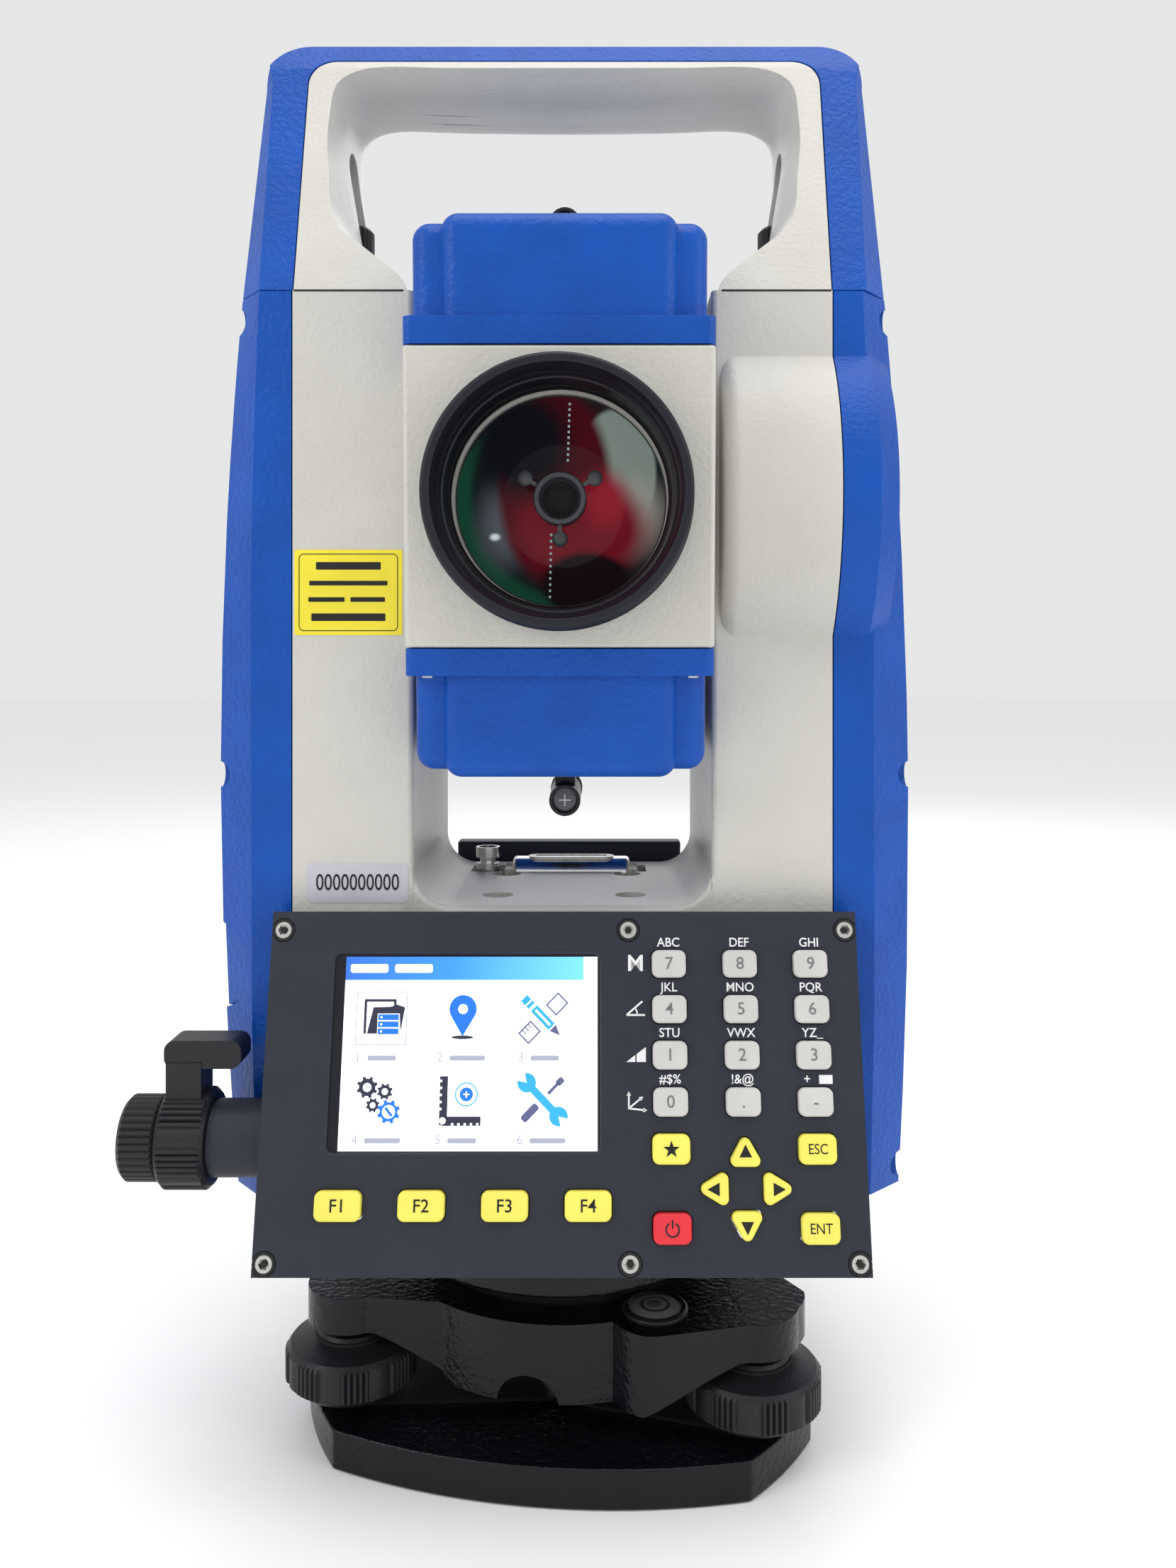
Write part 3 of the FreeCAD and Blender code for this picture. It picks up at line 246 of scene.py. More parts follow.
def coated_glass_painted_reflections():
    """Objective glass with painted reflections that glow: the coloured sheens of its coated surfaces, red, green
    and grey, a pale window and a spark.
    """
    black = (0.004, 0.004, 0.006)
    glass = new_material("coated_glass_painted_reflections", black, 0.06)
    sheen = ramp(glass, noise(glass, 30, 1.0), [(0.3, black), (0.7, (0.006, 0.006, 0.010))])
    # Each spot is a painted reflection: coloured sheens of the coatings, a grey haze, a pale window, a painted
    # highlight spark, and black where dark things are mirrored.
    spots = [
        ((-1, -1), (23.8, 23.8), (0.006, 0.040, 0.022), 0.03),      # green crescent at the lower left ...
        ((3.2, 2.4), (23.6, 23.6), (0.006, 0.010, 0.011), 0.06),    # ... left over beside this disc
        ((-12.5, -4.5), (5.6, 8.0), (0.060, 0.068, 0.080), 0.70),   # grey haze on the left
        ((4.5, 5.0), (12.5, 16.5), (0.026, 0.002, 0.005), 0.45),    # deep red round the middle
        ((12.6, 7.2), (9.0, 14.6), (0.150, 0.185, 0.165), 0.06),    # pale window on the right ...
        ((16.5, -2.0), (6.0, 7.0), (0.230, 0.220, 0.200), 0.80),    # ... brighter at its lower end
        ((-1.4, 4.0), (12.6, 22.0), (0.045, 0.003, 0.007), 0.12),   # ... cut off by red on its left
        ((4.8, -5.4), (14.6, 10.4), (0.110, 0.005, 0.010), 0.30),   # brighter red below the middle
        ((10.0, 1.0), (4.6, 5.6), (0.200, 0.008, 0.018), 0.70),
        ((6.0, -18.0), (10.5, 7.2), (0.006, 0.003, 0.004), 0.16),   # black hump at the bottom
        ((-8.5, 14.0), (10.5, 11.5), (0.004, 0.004, 0.006), 0.40),  # black at the upper left
        ((-15.0, -7.2), (1.0, 0.7), (0.50, 0.56, 0.58), 0.70),      # spark
    ]
    for middle, radii, colour, blur in spots:
        sheen = painted_reflection_spot(glass, sheen, middle, radii, colour, blur)
    # The painted reflections also feed the emission, so the glass glows by itself.
    feed(glass, sheen, "Base Color", "Emission Color")
    shader_of(glass).inputs["Emission Strength"].default_value = 0.8
    shader_of(glass).inputs["Specular IOR Level"].default_value = 0.10
    return glass


def clear_glass():
    """Clear glass of the ocular."""
    tint = (0.80, 0.86, 0.90)
    glass = new_material("clear_glass", tint, 0.03)
    mottle(glass, tint, 200, 0.03)
    shader_of(glass).inputs["Transmission Weight"].default_value = 0.9
    return glass


IVORY = structure_paint("ivory_paint", (0.56, 0.548, 0.505), 0.03, 0.5)
BLUE = structure_paint("blue_paint", (0.001, 0.068, 0.38), 0.10, 0.26, 760, 0.00026)
ANTHRACITE = moulded("panel_anthracite", (0.020, 0.023, 0.036), 0.5, 2300, 0.00009)
CASTING = wrinkle_paint()
KNOB = moulded("knob_black", (0.013, 0.013, 0.016), 0.42, 1800, 0.00008)
ANODISED = moulded("anodised_black", (0.010, 0.010, 0.012), 0.3, 5000, 0.00002)
HOOD_BLACK = moulded("hood_black", (0.007, 0.008, 0.013), 0.42, 3000, 0.00005)
STEEL = machined("bright_steel", (0.62, 0.61, 0.58), 0.28)
NICKEL = machined("nickel", (0.72, 0.71, 0.68), 0.16)
SCREEN = moulded("screen_frame", (0.008, 0.009, 0.014), 0.2, 3000, 0.00001)
KEY_WHITE = moulded("key_white", (0.55, 0.54, 0.52), 0.45)
KEY_YELLOW = moulded("key_yellow", (0.84, 0.75, 0.11), 0.45)
KEY_RED = moulded("key_red", (0.72, 0.022, 0.035), 0.45)
# Objective glass carrying the glowing painted reflections.
LENS = coated_glass_painted_reflections()
GLASS = clear_glass()
VIAL_DARK = moulded("sight_glass", (0.10, 0.085, 0.11), 0.08, 500, 0.000005)
# Circular level glass in dark grey: painted shade over the level's liquid.
LEVEL_GLASS_PAINTED_SHADE = moulded("level_glass", (0.20, 0.20, 0.20), 0.1, 500, 0.000005)
PRINT_WHITE = moulded("print_white", (0.80, 0.80, 0.80), 0.5)
PRINT_GREY = moulded("print_grey", (0.16, 0.16, 0.17), 0.5)
PRINT_BLACK = moulded("print_black", (0.012, 0.012, 0.012), 0.5)
LABEL_YELLOW = moulded("label_yellow", (0.83, 0.70, 0.03), 0.4, 1200, 0.00002)
LABEL_GREY = moulded("label_grey", (0.50, 0.50, 0.56), 0.4, 1200, 0.00002)
VIAL = moulded("vial_liquid", (0.42, 0.62, 0.10), 0.12, 500, 0.000005)
BUBBLE = moulded("bubble", (0.80, 0.86, 0.55), 0.1, 500, 0.000005)
SEAL = moulded("seal_rubber", (0.012, 0.012, 0.013), 0.6)
EMITTER_GREY = moulded("emitter_grey", (0.055, 0.058, 0.066), 0.35, 3000, 0.00002)
# Painted glints: glowing strips that stand in for highlights on the objective's glass.
GLINT = lit("lens_glint", (0.40, 0.58, 0.58), 0.25)

NODE_FINISH = {
    "ivory_paint": IVORY, "blue_paint": BLUE, "panel_anthracite": ANTHRACITE,
    "black_casting": CASTING, "black_knob": KNOB, "black_anodised": ANODISED,
    "bright_steel": STEEL, "level_chrome": NICKEL, "screen": SCREEN,
    "key_white": KEY_WHITE, "key_yellow": KEY_YELLOW, "key_red": KEY_RED, "lens_glass": LENS,
}


# ---------------------------------------------------------------- CAD nodes: finish and softened edges

EDGE_WIDTH = {
    "ivory_paint": 0.9, "blue_paint": 0.8, "panel_anthracite": 0.6, "black_casting": 1.0,
    "black_knob": 0.25, "black_anodised": 0.25, "bright_steel": 0.15, "level_chrome": 0.3,
    "screen": 0.3, "key_white": 0.55, "key_yellow": 0.55, "key_red": 0.55,
}
NODE_EDGE = {
    "yoke": 1.2, "handle": 1.6, "handle_trim": 1.4, "telescope_body": 0.8,
    "battery": 0.5, "battery_latch": 0.5, "base_plate": 1.6, "tribrach_body": 1.6,
}


def bevel(piece, width, segments):
    """Rounds edges by a width in millimetres."""
    edge = piece.modifiers.new("edge", "BEVEL")
    edge.width = width * MM
    edge.segments = segments
    return edge


def soften(node, width):
    """Rounds a CAD node's edges for the eye; its own vertices stay as they are."""
    weld = node.modifiers.new("weld", "WELD")
    weld.merge_threshold = 0.00001
    flat = node.modifiers.new("flat", "DECIMATE")
    flat.decimate_type = "DISSOLVE"
    flat.angle_limit = math.radians(1.5)
    edge = bevel(node, width, 3)
    edge.limit_method = "ANGLE"
    edge.angle_limit = math.radians(32)
    edge.miter_outer = "MITER_ARC"
    shade = node.modifiers.new("shade", "WEIGHTED_NORMAL")
    shade.weight = 80
    node.data.polygons.foreach_set("use_smooth", [True] * len(node.data.polygons))


def finish_nodes():
    """Gives every CAD node the material and edge width of its slot."""
    slots = {part["node"]: part["material_slot"] for part in frame["record"]["subparts"]}
    for name, node in NODES.items():
        slot = slots[name]
        material = HOOD_BLACK if name == "objective_hood" else NODE_FINISH[slot]
        node.data.materials.clear()
        node.data.materials.append(material)
        if slot in EDGE_WIDTH:
            soften(node, NODE_EDGE.get(name, EDGE_WIDTH[slot]))


# ---------------------------------------------------------------- mesh helpers

SHARP_ANGLE = math.radians(40)
CAPITAL_TO_SIZE = 1.42          # font size for capitals one unit high


def at(x, y, z):
    """A place in millimetres, as a matrix."""
    return Matrix.Translation(Vector((x, y, z)) * MM)


def polar(radius, degrees, x=0.0, y=0.0):
    """A point at a radius and angle round (x, y)."""
    angle = math.radians(degrees)
    return x + radius * math.cos(angle), y + radius * math.sin(angle)


def make_piece(name, build, material, body, slot):
    """A mesh piece from a bmesh already in place, shaded smooth but for its sharp edges."""
    mesh = bpy.data.meshes.new(name)
    bmesh.ops.remove_doubles(build, verts=build.verts, dist=1e-7)
    bmesh.ops.recalc_face_normals(build, faces=build.faces)
    for face in build.faces:
        face.smooth = True
    for edge in build.edges:
        if len(edge.link_faces) == 2 and edge.calc_face_angle(0) > SHARP_ANGLE:
            edge.smooth = False
    build.to_mesh(mesh)
    build.free()
    piece = bpy.data.objects.new(name, mesh)
    bpy.context.scene.collection.objects.link(piece)
    mesh.materials.append(material)
    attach(piece, body)
    return piece


def add_lathe(build, matrix, profile, steps, closed=True):
    """Turns (radius, height) points in millimetres about the matrix's Z axis."""
    rings = []
    for radius, height in profile:
        count = steps if radius > 1e-6 else 1
        turn = [Vector((*polar(radius, 360 * step / steps), height)) * MM for step in range(count)]
        rings.append([build.verts.new(matrix @ point) for point in turn])
    pairs = list(zip(rings, rings[1:]))
    if closed and len(rings[0]) > 1 and len(rings[-1]) > 1:
        pairs.append((rings[-1], rings[0]))
    for low, high in pairs:
        for step in range(steps):
            after = (step + 1) % steps
            corners = [low[step % len(low)], low[after % len(low)]]
            corners += [high[after % len(high)], high[step % len(high)]]
            distinct = list(dict.fromkeys(corners))
            if len(distinct) > 2:
                build.faces.new(distinct)


def add_slab(build, matrix, outline, low, high):
    """A flat prism over an outline of (x, y) points in millimetres, from low to high."""
    bottom = [build.verts.new(matrix @ (Vector((x, y, low)) * MM)) for x, y in outline]
    top = [build.verts.new(matrix @ (Vector((x, y, high)) * MM)) for x, y in outline]
    build.faces.new(top)
    build.faces.new(list(reversed(bottom)))
    for i in range(len(outline)):
        j = (i + 1) % len(outline)
        build.faces.new([bottom[i], bottom[j], top[j], top[i]])


def turned_piece(name, place, profile, steps, material, body, slot, closed=True):
    """A piece made of one turned profile."""
    build = bmesh.new()
    add_lathe(build, place, profile, steps, closed)
    return make_piece(name, build, material, body, slot)


def slab_piece(name, place, outline, low, high, material, body, slot):
    """A piece made of one slab."""
    build = bmesh.new()
    add_slab(build, place, outline, low, high)
    return make_piece(name, build, material, body, slot)


def arc(x, y, radius, start, end, steps):
    """Points on an arc, angles in degrees."""
    return [polar(radius, start + (end - start) * i / steps, x, y) for i in range(steps + 1)]


def rectangle(x, y, width, height, radius=0.0):
    """Outline of a rectangle about (x, y), its corners rounded where a radius is given."""
    w, h = width / 2, height / 2
    if radius == 0:
        return [(x - w, y - h), (x + w, y - h), (x + w, y + h), (x - w, y + h)]
    points = []
    for sx, sy, start in ((1, -1, -90), (1, 1, 0), (-1, 1, 90), (-1, -1, 180)):
        points += arc(x + sx * (w - radius), y + sy * (h - radius), radius, start, start + 90, 5)
    return points


def disc(x, y, radius, steps=32):
    return arc(x, y, radius, 0, 360 - 360 / steps, steps - 1)


def hexagon(radius):
    return [polar(radius, 60 * i) for i in range(6)]


def stroke(x0, y0, x1, y1, width):
    """Outline of a straight line of a given width."""
    run = Vector((x1 - x0, y1 - y0))
    side = Vector((-run.y, run.x)).normalized() * width / 2
    ends = ((x0, y0, -1), (x1, y1, -1), (x1, y1, 1), (x0, y0, 1))
    return [(x + side.x * way, y + side.y * way) for x, y, way in ends]


def turned_outline(outline, x, y, degrees):
    """An outline turned about (x, y)."""
    c, s = math.cos(math.radians(degrees)), math.sin(math.radians(degrees))
    return [(x + (px - x) * c - (py - y) * s, y + (px - x) * s + (py - y) * c) for px, py in outline]


def add_band(build, matrix, outer, inner, low, high):
    """A slab with a hole: outer and inner outlines have the same number of points."""
    loops = []
    for outline, z in ((outer, low), (outer, high), (inner, high), (inner, low)):
        loops.append([build.verts.new(matrix @ (Vector((x, y, z)) * MM)) for x, y in outline])
    count = len(outer)
    for k in range(4):
        here, there = loops[k], loops[(k + 1) % 4]
        for i in range(count):
            j = (i + 1) % count
            build.faces.new([here[i], here[j], there[j], there[i]])


def add_text(build, matrix, text, x, y, height, low, high, bold=0.0, width=1.0):
    """Raised lettering, centred on (x, y); height is that of a capital, in millimetres."""
    curve = bpy.data.curves.new("letters", "FONT")
    curve.body = text
    curve.size = height * CAPITAL_TO_SIZE
    curve.align_x = "CENTER"
    curve.align_y = "CENTER"
    curve.offset = bold
    curve.resolution_u = 4
    curve.extrude = (high - low) / 2
    carrier = bpy.data.objects.new("letters", curve)
    mesh = bpy.data.meshes.new_from_object(carrier)
    placed = matrix @ Matrix.Scale(MM, 4) @ Matrix.Translation((x, y, (low + high) / 2))
    mesh.transform(placed @ Matrix.Diagonal((width, 1, 1, 1)))
    build.from_mesh(mesh)
    bpy.data.meshes.remove(mesh)
    bpy.data.objects.remove(carrier)
    bpy.data.curves.remove(curve)


def facing(point, normal, up=Vector((0, 0, 1))):
    """A matrix whose Z axis is normal and whose Y axis is as near to up as it can be."""
    z = Vector(normal).normalized()
    x = up.cross(z).normalized()
    return Matrix.Translation(point) @ Matrix((x, z.cross(x), z)).transposed().to_4x4()


# ---------------------------------------------------------------- keypad legends

PROUD = 1.6            # how far a key stands out of the panel
INK = 0.05             # how far printed ink stands out
LETTER_RISE = 4.75     # from the middle of a key to its small letters
SYMBOL_COLUMN = 16.4   # of the symbols beside the digit rows
POWER_KEY = (24, -25.4)
DIGITS_END = -8        # height between the digit rows and the yellow keys
WINDOW_MIDDLE = (-22.1, 7.95)
WINDOW_SIZE = (61.8, 44.1)
GLASS_LEVEL = -0.8
SCREW_COLUMNS = (-64.7, 14.8, 64.7)
SCREW_ROWS = (34.8, -36.3)
UPPER_CASE_ROWS = (("ABC", "DEF", "GHI"), ("JKL", "MNO", "PQR"), ("STU", "VWX", "YZ_"), ("#$%", "!&@", "+"))
DIGIT_KEYS = (("7", "8", "9"), ("4", "5", "6"), ("1", "2", "3"), ("0", "dot", "minus"))
ARROW_KEYS = {"up": 90, "left": 180, "down": 270, "right": 0}
KEY_TEXT = {
    "dot": ".", "minus": "-", "escape": "ESC", "enter": "ENT",
    "f1": "F1", "f2": "F2", "f3": "F3", "f4": "F4",
}


def key_spot(name):
    """Middle of a front key in panel coordinates, in millimetres."""
    low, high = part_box("key_" + name)
    local = PANEL.inverted() @ ((low + high) / 2)
    return local.x / MM, local.y / MM


def star(x, y, radius):
    return [polar(radius if i % 2 == 0 else radius * 0.4, 90 + 36 * i, x, y) for i in range(10)]


def draw_key_legend(build, matrix, name):
    x, y = key_spot(name)
    low, high = PROUD - 0.02, PROUD + INK
    if name == "star":
        add_slab(build, matrix, star(x, y, 1.9), low, high)
    elif name == "power":
        open_ring = arc(x, y - 0.1, 1.6, 118, 422, 24) + arc(x, y - 0.1, 1.25, 422, 118, 24)
        add_slab(build, matrix, open_ring, low, high)
        add_slab(build, matrix, stroke(x, y + 0.2, x, y + 1.9, 0.36), low, high)
    elif name in ARROW_KEYS:
        tip = [polar(1.7, ARROW_KEYS[name] + angle, x, y) for angle in (0, 125, 235)]
        add_slab(build, matrix, tip, low, high)
    else:
        text = KEY_TEXT.get(name, name)
        height, bold, width = (2.2, 0.0, 0.86) if len(text) > 2 else (2.7, 0.02, 1.0)
        add_text(build, matrix, text, x, y, height, low, high, bold, width)


def draw_row_symbols(build, matrix, low, high):
    """Symbols left of the digit rows: memory, angle, distance and coordinates."""
    x = SYMBOL_COLUMN
    rows = [key_spot(row[0])[1] for row in DIGIT_KEYS]
    add_text(build, matrix, "M", x, rows[0], 3.6, low, high, 0.06)
    y = rows[1] - 1.3
    add_slab(build, matrix, stroke(x - 2.1, y, x + 2.1, y, 0.4), low, high)
    add_slab(build, matrix, stroke(x - 2.1, y, x + 1.5, y + 3.0, 0.4), low, high)
    sweep = arc(x - 2.1, y, 2.6, 0, 40, 8) + arc(x - 2.1, y, 2.3, 40, 0, 8)
    add_slab(build, matrix, sweep, low, high)
    y = rows[2] - 1.5
    add_slab(build, matrix, [(x - 2.2, y), (x - 0.2, y), (x - 0.2, y + 1.5)], low, high)
    add_slab(build, matrix, [(x + 0.1, y), (x + 2.2, y), (x + 2.2, y + 3.2), (x + 0.1, y + 1.7)], low, high)
    y = rows[3] - 1.4
    add_slab(build, matrix, stroke(x - 1.7, y, x - 1.7, y + 3.2, 0.36), low, high)
    add_slab(build, matrix, stroke(x - 1.9, y, x + 1.9, y - 0.4, 0.36), low, high)
    add_slab(build, matrix, stroke(x - 1.7, y, x + 1.1, y + 2.2, 0.36), low, high)
    for tip_x, tip_y, angle in ((x - 1.7, y + 3.6, 90), (x + 2.4, y - 0.45, -6), (x + 1.5, y + 2.5, 38)):
        head = [(tip_x, tip_y), (tip_x - 0.9, tip_y - 0.5), (tip_x - 0.9, tip_y + 0.5)]
        add_slab(build, matrix, turned_outline(head, tip_x, tip_y, angle), low, high)


def draw_panel_legends(build, matrix):
    """Small letters over the digit keys, an envelope over the last one, and the row symbols."""
    low, high = -0.02, INK
    for names, row in zip(UPPER_CASE_ROWS, DIGIT_KEYS):
        for text, name in zip(names, row):
            x, y = key_spot(name)
            y += LETTER_RISE
            if text == "+":
                x -= 1.6
                add_slab(build, matrix, rectangle(x + 4.2, y, 3.0, 1.9), low, high)
            add_text(build, matrix, text, x, y, 2.0, low, high, 0.03, 0.95)
    draw_row_symbols(build, matrix, low, high)


def tint_rear_keys():
    """The rear keys are one node, so height and place tell yellow and red keys from white ones."""
    node = NODES["rear_keys"]
    rear = Matrix.Translation(-node.matrix_world.translation) @ HALF_TURN @ PANEL
    digits_end = rear @ (Vector((0, DIGITS_END, 0)) * MM)
    power = rear @ (Vector((*POWER_KEY, 0)) * MM)
    rubber = moulded("rear_key_rubber", shader_colour(KEY_WHITE), 0.45)
    split = add_node(rubber, "SeparateXYZ", {"Vector": texture_point(rubber)})
    across, height = split.outputs["X"], split.outputs["Z"]

    def maths(operation, *values):
        return add_node(rubber, "Math", dict(enumerate(values)), operation=operation).outputs[0]

    in_column = maths("COMPARE", across, power.x, 5 * MM)
    is_power = maths("MULTIPLY", in_column, maths("LESS_THAN", height, power.z))
    below_digits = maths("LESS_THAN", height, digits_end.z)
    white = shader_of(rubber).inputs["Base Color"].links[0].from_socket
    colour = mix(rubber, below_digits, white, shader_colour(KEY_YELLOW))
    feed(rubber, mix(rubber, is_power, colour, shader_colour(KEY_RED)), "Base Color")
    node.data.materials[0] = rubber


def keypad_print(side, matrix):
    """White legends on the panel and dark legends on the keys."""
    legends = bmesh.new()
    draw_panel_legends(legends, matrix)
    make_piece(f"{side}_panel_print", legends, PRINT_WHITE, "alidade", "panel_anthracite")
    names = [name for row in DIGIT_KEYS for name in row]
    names += ["star", "power", "escape", "enter", *ARROW_KEYS, "f1", "f2", "f3", "f4"]
    if side == "rear":
        together = bmesh.new()
        for name in names:
            draw_key_legend(together, matrix, name)
        make_piece("rear_key_print", together, PRINT_BLACK, "alidade", "key_white")
        return
    for name in names:
        single = bmesh.new()
        draw_key_legend(single, matrix, name)
        ink = PRINT_GREY if len(KEY_TEXT.get(name, name)) == 1 else PRINT_BLACK
        make_piece(f"key_{name}_print", single, ink, "key_" + name, "key_white")


# ---------------------------------------------------------------- screen picture

LAYER_STEP = 0.03
LAYER_DEPTH = 0.035


def gear(x, y, radius, teeth):
    """Outline of a gear wheel; each tooth is (share of its pitch, share of the radius) points."""
    tooth = ((0.0, 0.78), (0.18, 0.78), (0.28, 1.0), (0.62, 1.0), (0.72, 0.78), (0.99, 0.78))
    return [polar(radius * reach, 360 * (turn + share) / teeth, x, y)
            for turn in range(teeth) for share, reach in tooth]


class Picture:
    """Thin shapes of one screen picture, kept apart by colour and lifted layer by layer."""

    def __init__(self, matrix):
        self.matrix = matrix
        self.builds = {}

    def start(self, ink, layer):
        """The build for an ink, with the bottom and top of a layer."""
        if ink not in self.builds:
            self.builds[ink] = bmesh.new()
        low = GLASS_LEVEL + LAYER_STEP * (layer - 1)
        return self.builds[ink], low, low + LAYER_DEPTH

    def shape(self, ink, outline, layer):
        build, low, high = self.start(ink, layer)
        add_slab(build, self.matrix, outline, low, high)

    def band(self, ink, outer, inner, layer):
        build, low, high = self.start(ink, layer)
        add_band(build, self.matrix, outer, inner, low, high)

    def text(self, ink, text, x, y, height, layer):
        build, low, high = self.start(ink, layer)
        add_text(build, self.matrix, text, x, y, height, low, high)


def draw_picture(matrix):
    """A generic start menu: title bar and six numbered symbols."""
    p = Picture(matrix)
    left, right, bottom, top = -50.0, 7.7, -13.3, 28.8
    middle_x, middle_y = (left + right) / 2, (bottom + top) / 2
    p.shape("white", rectangle(middle_x, middle_y, right - left, top - bottom), 1)
    p.shape("header", rectangle(middle_x - 1.6, top - 2.6, right - left - 3.2, 5.2), 2)
    for title in (5.4, 15.6):
        p.shape("white", rectangle(left + title, top - 2.6, 8.6, 1.9, 0.5), 3)
    symbols = ((draw_folder, draw_pin, draw_pencil), (draw_gears, draw_scale, draw_tools))
    spots = [(row, column, x, y) for row, y in enumerate((15.2, -2.4))
             for column, x in enumerate((-41.4, -22.9, -4.6))]
    for row, column, x, y in spots:
        width = 6.4 + 1.6 * ((column + row) % 2)
        p.text("grey", str(1 + column + 3 * row), x - 5.0, y - 8.6, 2.0, 2)
        p.shape("grey", rectangle(x - 2.8 + width / 2, y - 8.7, width, 1.1, 0.3), 2)
    for row, column, x, y in spots:
        symbols[row][column](p, x, y)
    return p


def draw_folder(p, x, y):
    p.band("grey", rectangle(x, y, 11.6, 11.8), rectangle(x, y, 11.2, 11.4), 2)
    back = [(-4.0, -3.4), (-3.4, -3.4), (-3.4, 3.6), (2.7, 3.6), (2.7, 2.6), (3.3, 2.6), (3.3, 4.2),
            (-4.0, 4.2)]
    front = [(-3.2, -3.4), (-0.9, -3.4), (-0.9, 1.0), (4.1, 1.0), (4.4, -3.2), (5.3, 2.4), (3.4, 3.0),
             (2.0, 2.5), (-1.9, 2.4)]
    for outline, layer in ((back, 2), (front, 3)):
        p.shape("navy", [(x + u, y + v) for u, v in outline], layer)
    for i in range(3):
        p.shape("blue", rectangle(x + 1.6, y - 2.9 + 1.55 * i, 4.7, 1.25), 4)
        p.shape("white", disc(x, y - 2.9 + 1.55 * i, 0.25, 10), 5)


def draw_pin(p, x, y):
    p.shape("blue", arc(x, y + 2.0, 3.1, -32, 212, 28) + [(x, y - 4.0)], 2)
    p.shape("white", disc(x, y + 2.0, 1.1, 20), 3)
    shadow = [(u * 2.5, v * 0.4) for u, v in disc(0, 0, 1, 24)]
    p.shape("navy", [(x + u, y - 4.2 + v) for u, v in shadow], 1.6)


def draw_pencil(p, x, y):
    def turned(degrees, v, width, height, u=0.0):
        return turned_outline(rectangle(x + u, y + v, width, height), x, y, degrees)

    for v in (4.4, -4.4):
        p.band("slate", turned(-45, v, 3.4, 4.0), turned(-45, v, 2.7, 3.3), 2)
    for v in (-5.2, -4.3, -3.4):
        p.shape("slate", turned(-45, v, 1.3, 0.25, -0.9), 2)
    for v, height in ((0.2, 5.8), (4.2, 0.8), (5.6, 1.4)):
        p.shape("sky", turned(45, v, 2.0, height), 3)
    p.shape("white", turned(45, 0.2, 0.5, 4.6), 4)
    tip = [(x - 1.0, y - 3.0), (x + 1.0, y - 3.0), (x, y - 5.4)]
    p.shape("slate", turned_outline(tip, x, y, 45), 3)


def draw_gears(p, x, y):
    wheels = ((-2.6, 2.6, 2.4, 0.4, "navy", 2), (1.4, 1.7, 1.8, 0.4, "navy", 2),
              (-1.2, -1.2, 1.6, 0.4, "navy", 2), (2.4, -2.6, 2.6, 0.56, "blue", 3))
    for u, v, radius, bore, ink, layer in wheels:
        p.shape(ink, gear(x + u, y + v, radius, 8), layer)
        p.shape("white", disc(x + u, y + v, radius * bore, 20), 4)
    p.shape("blue", turned_outline(rectangle(x + 2.4, y - 2.6, 0.6, 2.4), x + 2.4, y - 2.6, 40), 5)


def draw_scale(p, x, y):
    p.shape("navy", rectangle(x - 3.9, y - 0.2, 1.8, 10.4), 2)
    p.shape("navy", rectangle(x + 0.2, y - 4.6, 8.6, 2.0), 2)
    p.shape("white", disc(x - 4.0, y - 4.5, 0.75, 16), 3)
    for i in range(5):
        p.shape("white", rectangle(x - 4.6, y - 2.0 + 1.5 * i, 0.6, 0.5), 3)
        p.shape("white", rectangle(x - 1.8 + 1.4 * i, y - 5.3, 0.5, 0.6), 3)
    p.band("sky", disc(x + 1.2, y + 1.1, 2.6, 28), disc(x + 1.2, y + 1.1, 2.3, 28), 2)
    p.shape("blue", disc(x + 1.2, y + 1.1, 1.5, 24), 2)
    for width, height in ((1.4, 0.25), (0.25, 1.4)):
        p.shape("white", rectangle(x + 1.2, y + 1.1, width, height), 3)


def draw_tools(p, x, y):
    driver = ((-4.0, 1.7, 4.6, 0.6), (3.4, 0.7, 3.4, 0.0), (5.5, 1.4, 1.8, 0.4))
    for v, width, height, radius in driver:
        p.shape("slate", turned_outline(rectangle(x, y + v, width, height, radius), x, y, -45), 2)
    p.shape("sky", turned_outline(rectangle(x, y, 1.7, 9.0), x, y, 45), 3)
    for end, gap in ((1, 135), (-1, -45)):
        cx, cy = x - end * 3.6, y + end * 3.6
        p.shape("sky", arc(cx, cy, 2.1, gap + 32, gap + 328, 24) + [(cx, cy)], 4)


INKS = {                      # colour and glow of each
    "white": ((0.93, 0.96, 1.0), 0.85),
    "blue": ((0.005, 0.115, 0.86), 0.8),
    "sky": ((0.02, 0.27, 0.86), 0.8),
    "navy": ((0.02, 0.022, 0.05), 0.1),
    "slate": ((0.09, 0.10, 0.21), 0.3),
    "grey": ((0.33, 0.35, 0.44), 0.3),
}


def screens():
    """The lit pictures behind both windows and the bezels round them."""
    glow = {ink: lit("screen_" + ink, colour, strength) for ink, (colour, strength) in INKS.items()}
    glow["header"] = header_glow()
    width, height = WINDOW_SIZE
    for side, matrix in (("front", PANEL), ("rear", HALF_TURN @ PANEL)):
        for ink, build in draw_picture(matrix).builds.items():
            make_piece(f"{side}_screen_{ink}", build, glow[ink], "alidade", "screen")
        ring = bmesh.new()
        outer = rectangle(*WINDOW_MIDDLE, width + 1.6, height + 1.6, 2.2)
        inner = rectangle(*WINDOW_MIDDLE, width - 1.2, height - 1.2, 1.4)
        add_band(ring, matrix, outer, inner, -1.2, 0.08)
        bevel(make_piece(f"{side}_screen_bezel", ring, ANTHRACITE, "alidade", "panel_anthracite"), 0.5, 2)


# ---------------------------------------------------------------- telescope details

